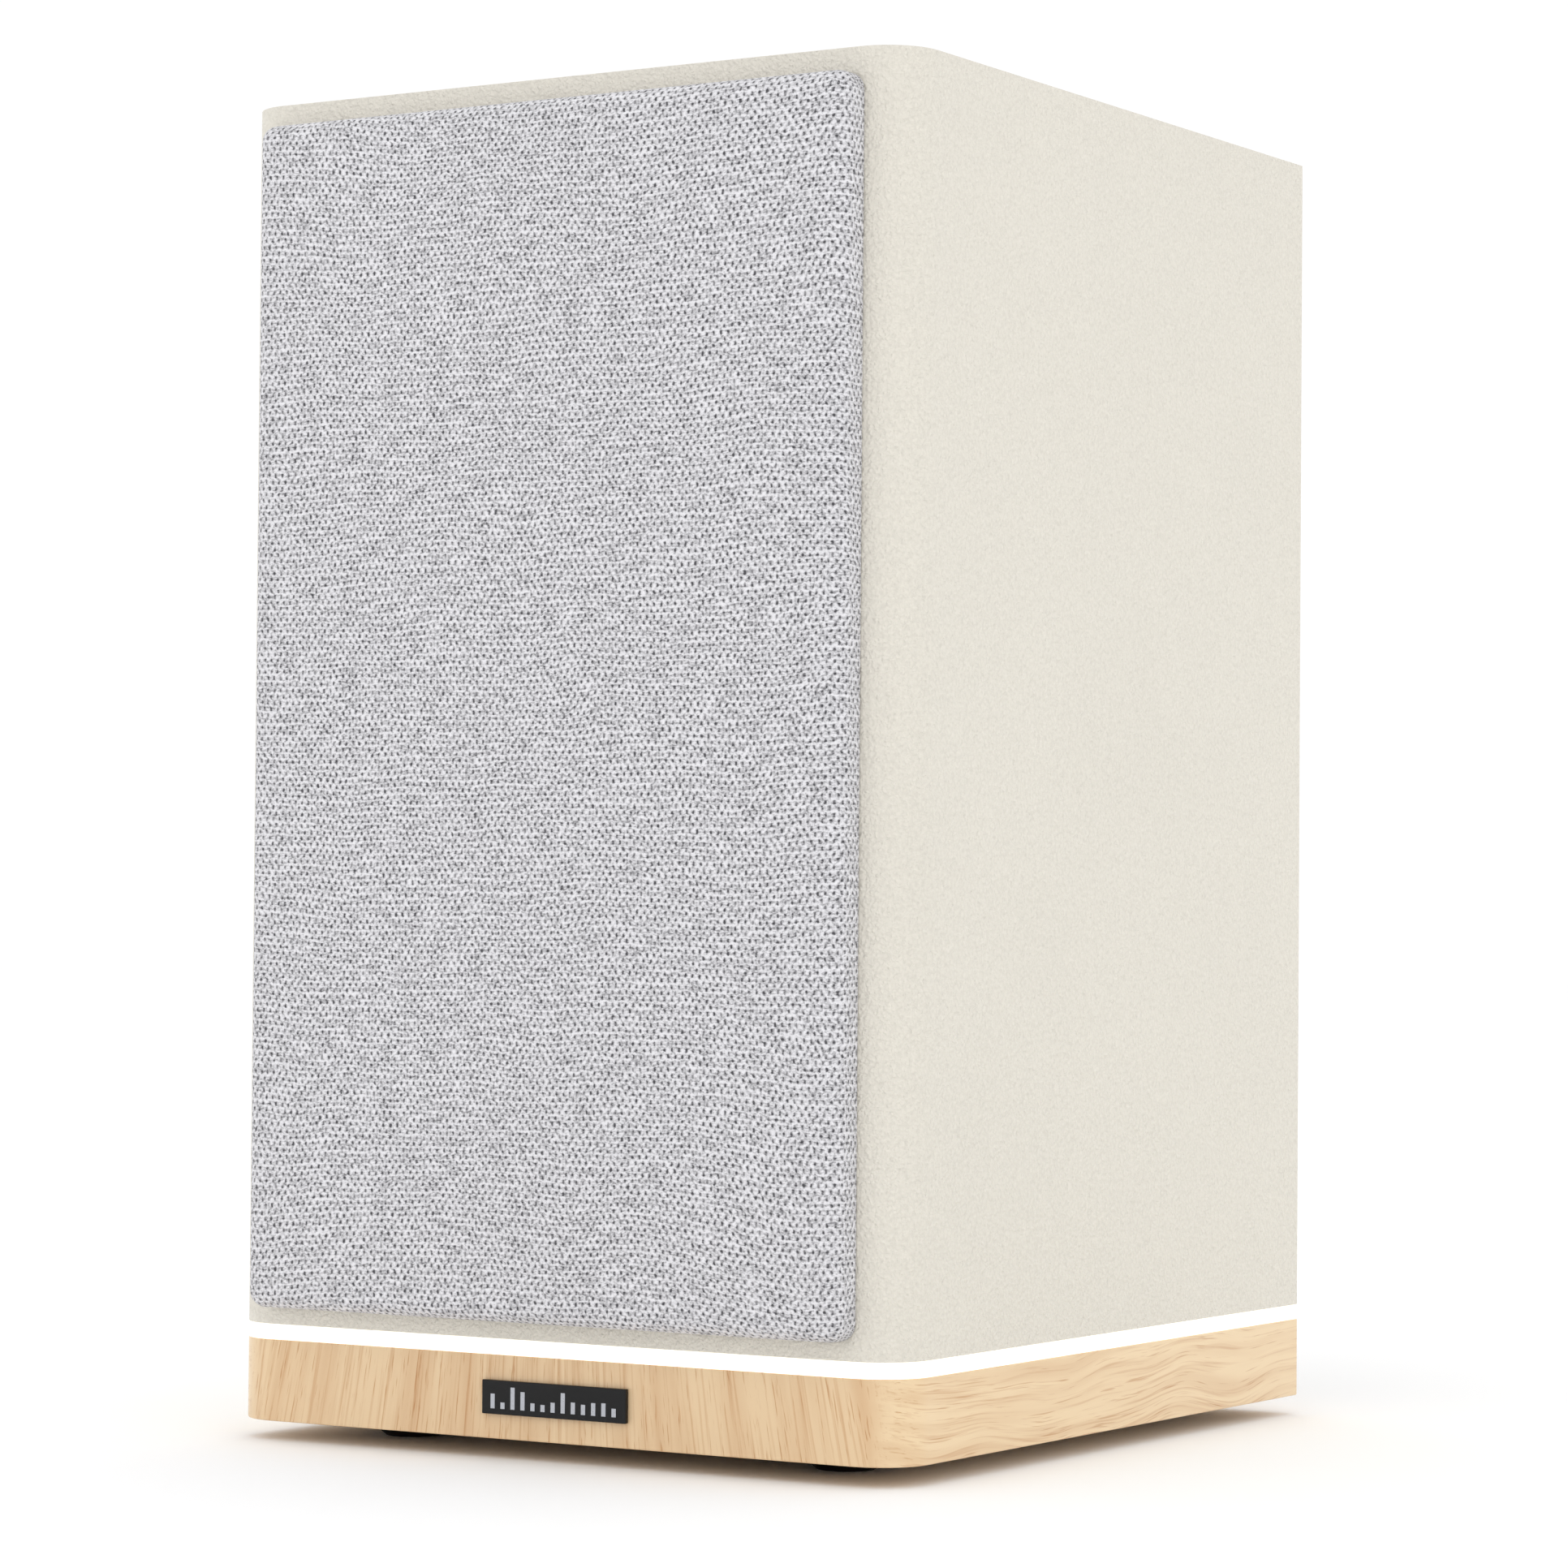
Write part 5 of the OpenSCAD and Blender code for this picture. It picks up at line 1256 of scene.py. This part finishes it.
class SPEAKER_OT_electronics(bpy.types.Operator):
    """Dresses the board, its standoffs, heatsink, transformer and capacitors"""

    bl_idname = "speaker.electronics"
    bl_label = "Electronics"

    def execute(self, context):
        eased(amp_board=0.1, standoffs=0.3, transformer=0.5, capacitors=0.8)
        low, high = box("heatsink")
        fin, base = 1.5 * MM, 3 * MM
        count = 10
        pitch = (high.x - low.x - fin) / (count - 1)
        fins = grown(
            row_tree(),
            Count=count,
            Step=(pitch, 0, 0),
            Size=(fin, high.y - low.y - base, high.z - low.z),
            Vary=0.0,
            Seed=0,
            Material=finish("aluminium"),
            place=Matrix.Translation((low.x + fin / 2, low.y + (high.y - low.y - base) / 2, low.z)),
        )
        bm = bmesh.new()
        bm.from_mesh(fins)
        bm.from_mesh(block(tuple(Vector((low.x, high.y - base - 0.1 * MM, low.z)) / MM), tuple(high / MM)))
        sink = piece("heatsink_finned", mesh_of(bm), "root", "aluminium", ["heatsink"])
        ease = sink.modifiers.new("broken edge", "BEVEL")
        ease.width, ease.segments, ease.harden_normals = 0.2 * MM, 2, True
        # Small parts on the free strips of the board
        low, high = box("amp_board")
        strips = bmesh.new()
        y, up = low.y - 0.6 * MM, PLATE.translation.z
        for x0, z0, x1, z1 in ((-46, -24, -6, -12), (-46, 60, 20, 68), (42, -14, 47, 60)):
            corners = [(x0, z0), (x1, z0), (x1, z1), (x0, z1)]
            strips.faces.new([strips.verts.new((-x * MM, y, up + z * MM)) for x, z in corners])
        black, size = finish("black_plastic"), (2.4 * MM, 1.3 * MM, 1.4 * MM)
        parts = grown(parts_tree(), mesh_of(strips), Apart=4.5 * MM, Size=size, Seed=4, Material=black)
        piece("board_parts", parts, "root", "black_plastic")
        return {"FINISHED"}


LEADS = {
    # name: (node, slot, route in millimetres)
    "woofer_pair": (
        "woofer_lead",
        "wire_red",
        [(44, -66.15, 110.5), (52, -65.15, 110.5), (57, -42.15, 116.5), (56, -14.15, 129), (48, 36.35, 147),
         (40, 62.35, 149), (40, 74.05, 149)],
    ),
    "tweeter_pair": (
        "tweeter_lead",
        "wire_blue",
        [(24, -81.55, 236.5), (24, -73.55, 236.5), (38, -50.15, 220.5), (42, -24.15, 176.5), (42, 38.35, 191),
         (40, 62.35, 187), (40, 74.05, 187)],
    ),
    "light_pair": (
        "light_lead",
        "wire_grey",
        [(46, 74.05, 111), (46, 65.35, 110), (46, 42.35, 91), (46, 40.35, 51.3), (46, 40.35, 30.5),
         (46, 43.35, 24.9), (46, 60.35, 24.6), (46, 80.05, 24.6)],
    ),
}


class SPEAKER_OT_leads(bpy.types.Operator):
    """Runs the twisted pairs between the board, the drivers and the lit band"""

    bl_idname = "speaker.leads"
    bl_label = "Leads"

    def execute(self, context):
        sizes = context.scene.speaker_sizes
        tree = wire_tree()
        for name, (node, slot, route) in LEADS.items():
            route = [Vector(p) * MM for p in route]
            points = []
            for i in range(len(route) - 1):
                a, b, c, d = (route[min(max(i + k, 0), len(route) - 1)] for k in (-1, 0, 1, 2))
                for k in range(8):
                    t = k / 8
                    run = 2 * b + (c - a) * t
                    bend, ease = 2 * a - 5 * b + 4 * c - d, 3 * b - a - 3 * c + d
                    points.append(0.5 * (run + bend * t * t + ease * t**3))
            points.append(route[-1])
            path = bpy.data.meshes.new("lead path")
            path.from_pydata(points, [(i, i + 1) for i in range(len(points) - 1)], [])
            r = sizes.lead_r if node != "light_lead" else sizes.lead_r * 0.93
            pair = grown(
                tree, path, Wire_radius=r, Twist_radius=r, Turn_length=14 * MM, Sides=10, Material=finish(slot)
            )
            piece(name, pair, "root", slot, [node], smooth=180)
        return {"FINISHED"}


# ---------- stage ----------


class SPEAKER_OT_stage(bpy.types.Operator):
    """Lays a pale floor, sets soft studio light, and stands the camera at the front right"""

    bl_idname = "speaker.stage"
    bl_label = "Stage"

    def execute(self, context):
        scene = context.scene
        bm = bmesh.new()
        bmesh.ops.create_grid(bm, x_segments=4, y_segments=4, size=6)
        ground = linked("floor", mesh_of(bm, turn_out=False))
        tree, shader, mm = start("studio_paper", "#ffffff", 0.9)
        tooth = add(tree, "TexNoise", Vector=mm, Scale=0.4, Detail=3.0)
        raise_by(tree, shader, tooth, 0.01)
        ground.data.materials.append(bpy.data.materials["studio_paper"])

        world = bpy.data.worlds.new("studio")
        scene.world = world
        world.use_nodes = True
        sky = world.node_tree.nodes["Background"]
        sky.inputs["Color"].default_value = (1, 1, 1, 1)
        sky.inputs["Strength"].default_value = 1.02
        # Name, place, what it points at, width in metres, watts
        for name, place, target, size, power in (
            ("key softbox", (1.9, -1.5, 1.6), (0, 0, 0.16), 1.4, 3.2),
            ("front softbox", (-1.2, -2.2, 1.3), (0, 0, 0.16), 1.6, 0.6),
            ("top softbox", (-0.2, 0.3, 2.6), (0, 0, 0), 2.4, 6),
        ):
            light = bpy.data.lights.new(name, "AREA")
            light.shape, light.size, light.energy = "DISK", size, power
            lamp = linked(name, light)
            lamp.location = place
            lamp.rotation_euler = (Vector(target) - Vector(place)).to_track_quat("-Z", "Y").to_euler()

        yaw, pitch, roll = 0.553, 0.0267, 0.0078
        ahead = Vector((-math.sin(yaw) * math.cos(pitch), math.cos(yaw) * math.cos(pitch), math.sin(pitch)))
        right = Vector((math.cos(yaw), math.sin(yaw), 0))
        up = right.cross(ahead)
        across = right * math.cos(roll) + up * math.sin(roll)
        upward = up * math.cos(roll) - right * math.sin(roll)
        lens = bpy.data.cameras.new("camera")
        lens.lens, lens.sensor_width = 108.96, 36
        lens.clip_start, lens.clip_end = 0.01, 50
        camera = linked("camera", lens)
        turned = Matrix((across, upward, -ahead)).transposed().to_4x4()
        camera.matrix_world = Matrix.Translation((0.58987, -0.96171, 0.12122)) @ turned
        scene.camera = camera
        scene.view_settings.view_transform = "Standard"
        return {"FINISHED"}


OPERATORS = (
    SPEAKER_OT_stage, SPEAKER_OT_cabinet, SPEAKER_OT_wadding, SPEAKER_OT_plinth,
    SPEAKER_OT_band, SPEAKER_OT_badge, SPEAKER_OT_feet, SPEAKER_OT_grille_frame,
    SPEAKER_OT_grille_cloth, SPEAKER_OT_woofer, SPEAKER_OT_woofer_suspension, SPEAKER_OT_tweeter,
    SPEAKER_OT_coils, SPEAKER_OT_port, SPEAKER_OT_screws, SPEAKER_OT_plate,
    SPEAKER_OT_sockets, SPEAKER_OT_controls, SPEAKER_OT_electronics, SPEAKER_OT_leads,
)


class SPEAKER_PT_panel(bpy.types.Panel):
    """Lists the speaker's sizes, colours and pieces"""

    bl_idname = "SPEAKER_PT_panel"
    bl_label = "Bookshelf speaker"
    bl_space_type = "VIEW_3D"
    bl_region_type = "UI"
    bl_category = "Speaker"

    def draw(self, context):
        for group in (context.scene.speaker_sizes, context.scene.speaker_colours):
            box = self.layout.box()
            for name in group.bl_rna.properties.keys():
                if name not in ("rna_type", "name"):
                    box.prop(group, name)
        column = self.layout.column()
        for operator in OPERATORS:
            column.operator(operator.bl_idname)


CLASSES = (SpeakerSizes, SpeakerColours, *OPERATORS, SPEAKER_PT_panel)


def register():
    for cls in CLASSES:
        bpy.utils.register_class(cls)
    bpy.types.Scene.speaker_sizes = bpy.props.PointerProperty(type=SpeakerSizes)
    bpy.types.Scene.speaker_colours = bpy.props.PointerProperty(type=SpeakerColours)


def unregister():
    del bpy.types.Scene.speaker_colours
    del bpy.types.Scene.speaker_sizes
    for cls in reversed(CLASSES):
        bpy.utils.unregister_class(cls)


def main():
    register()
    for operator in OPERATORS:
        group, name = operator.bl_idname.split(".")
        getattr(getattr(bpy.ops, group), name)()
    for node, obj in frame["nodes"].items():
        if not obj.hide_render:
            obj.data.materials.clear()
            obj.data.materials.append(finish(SLOTS[node]))


if __name__ == "__main__":
    main()
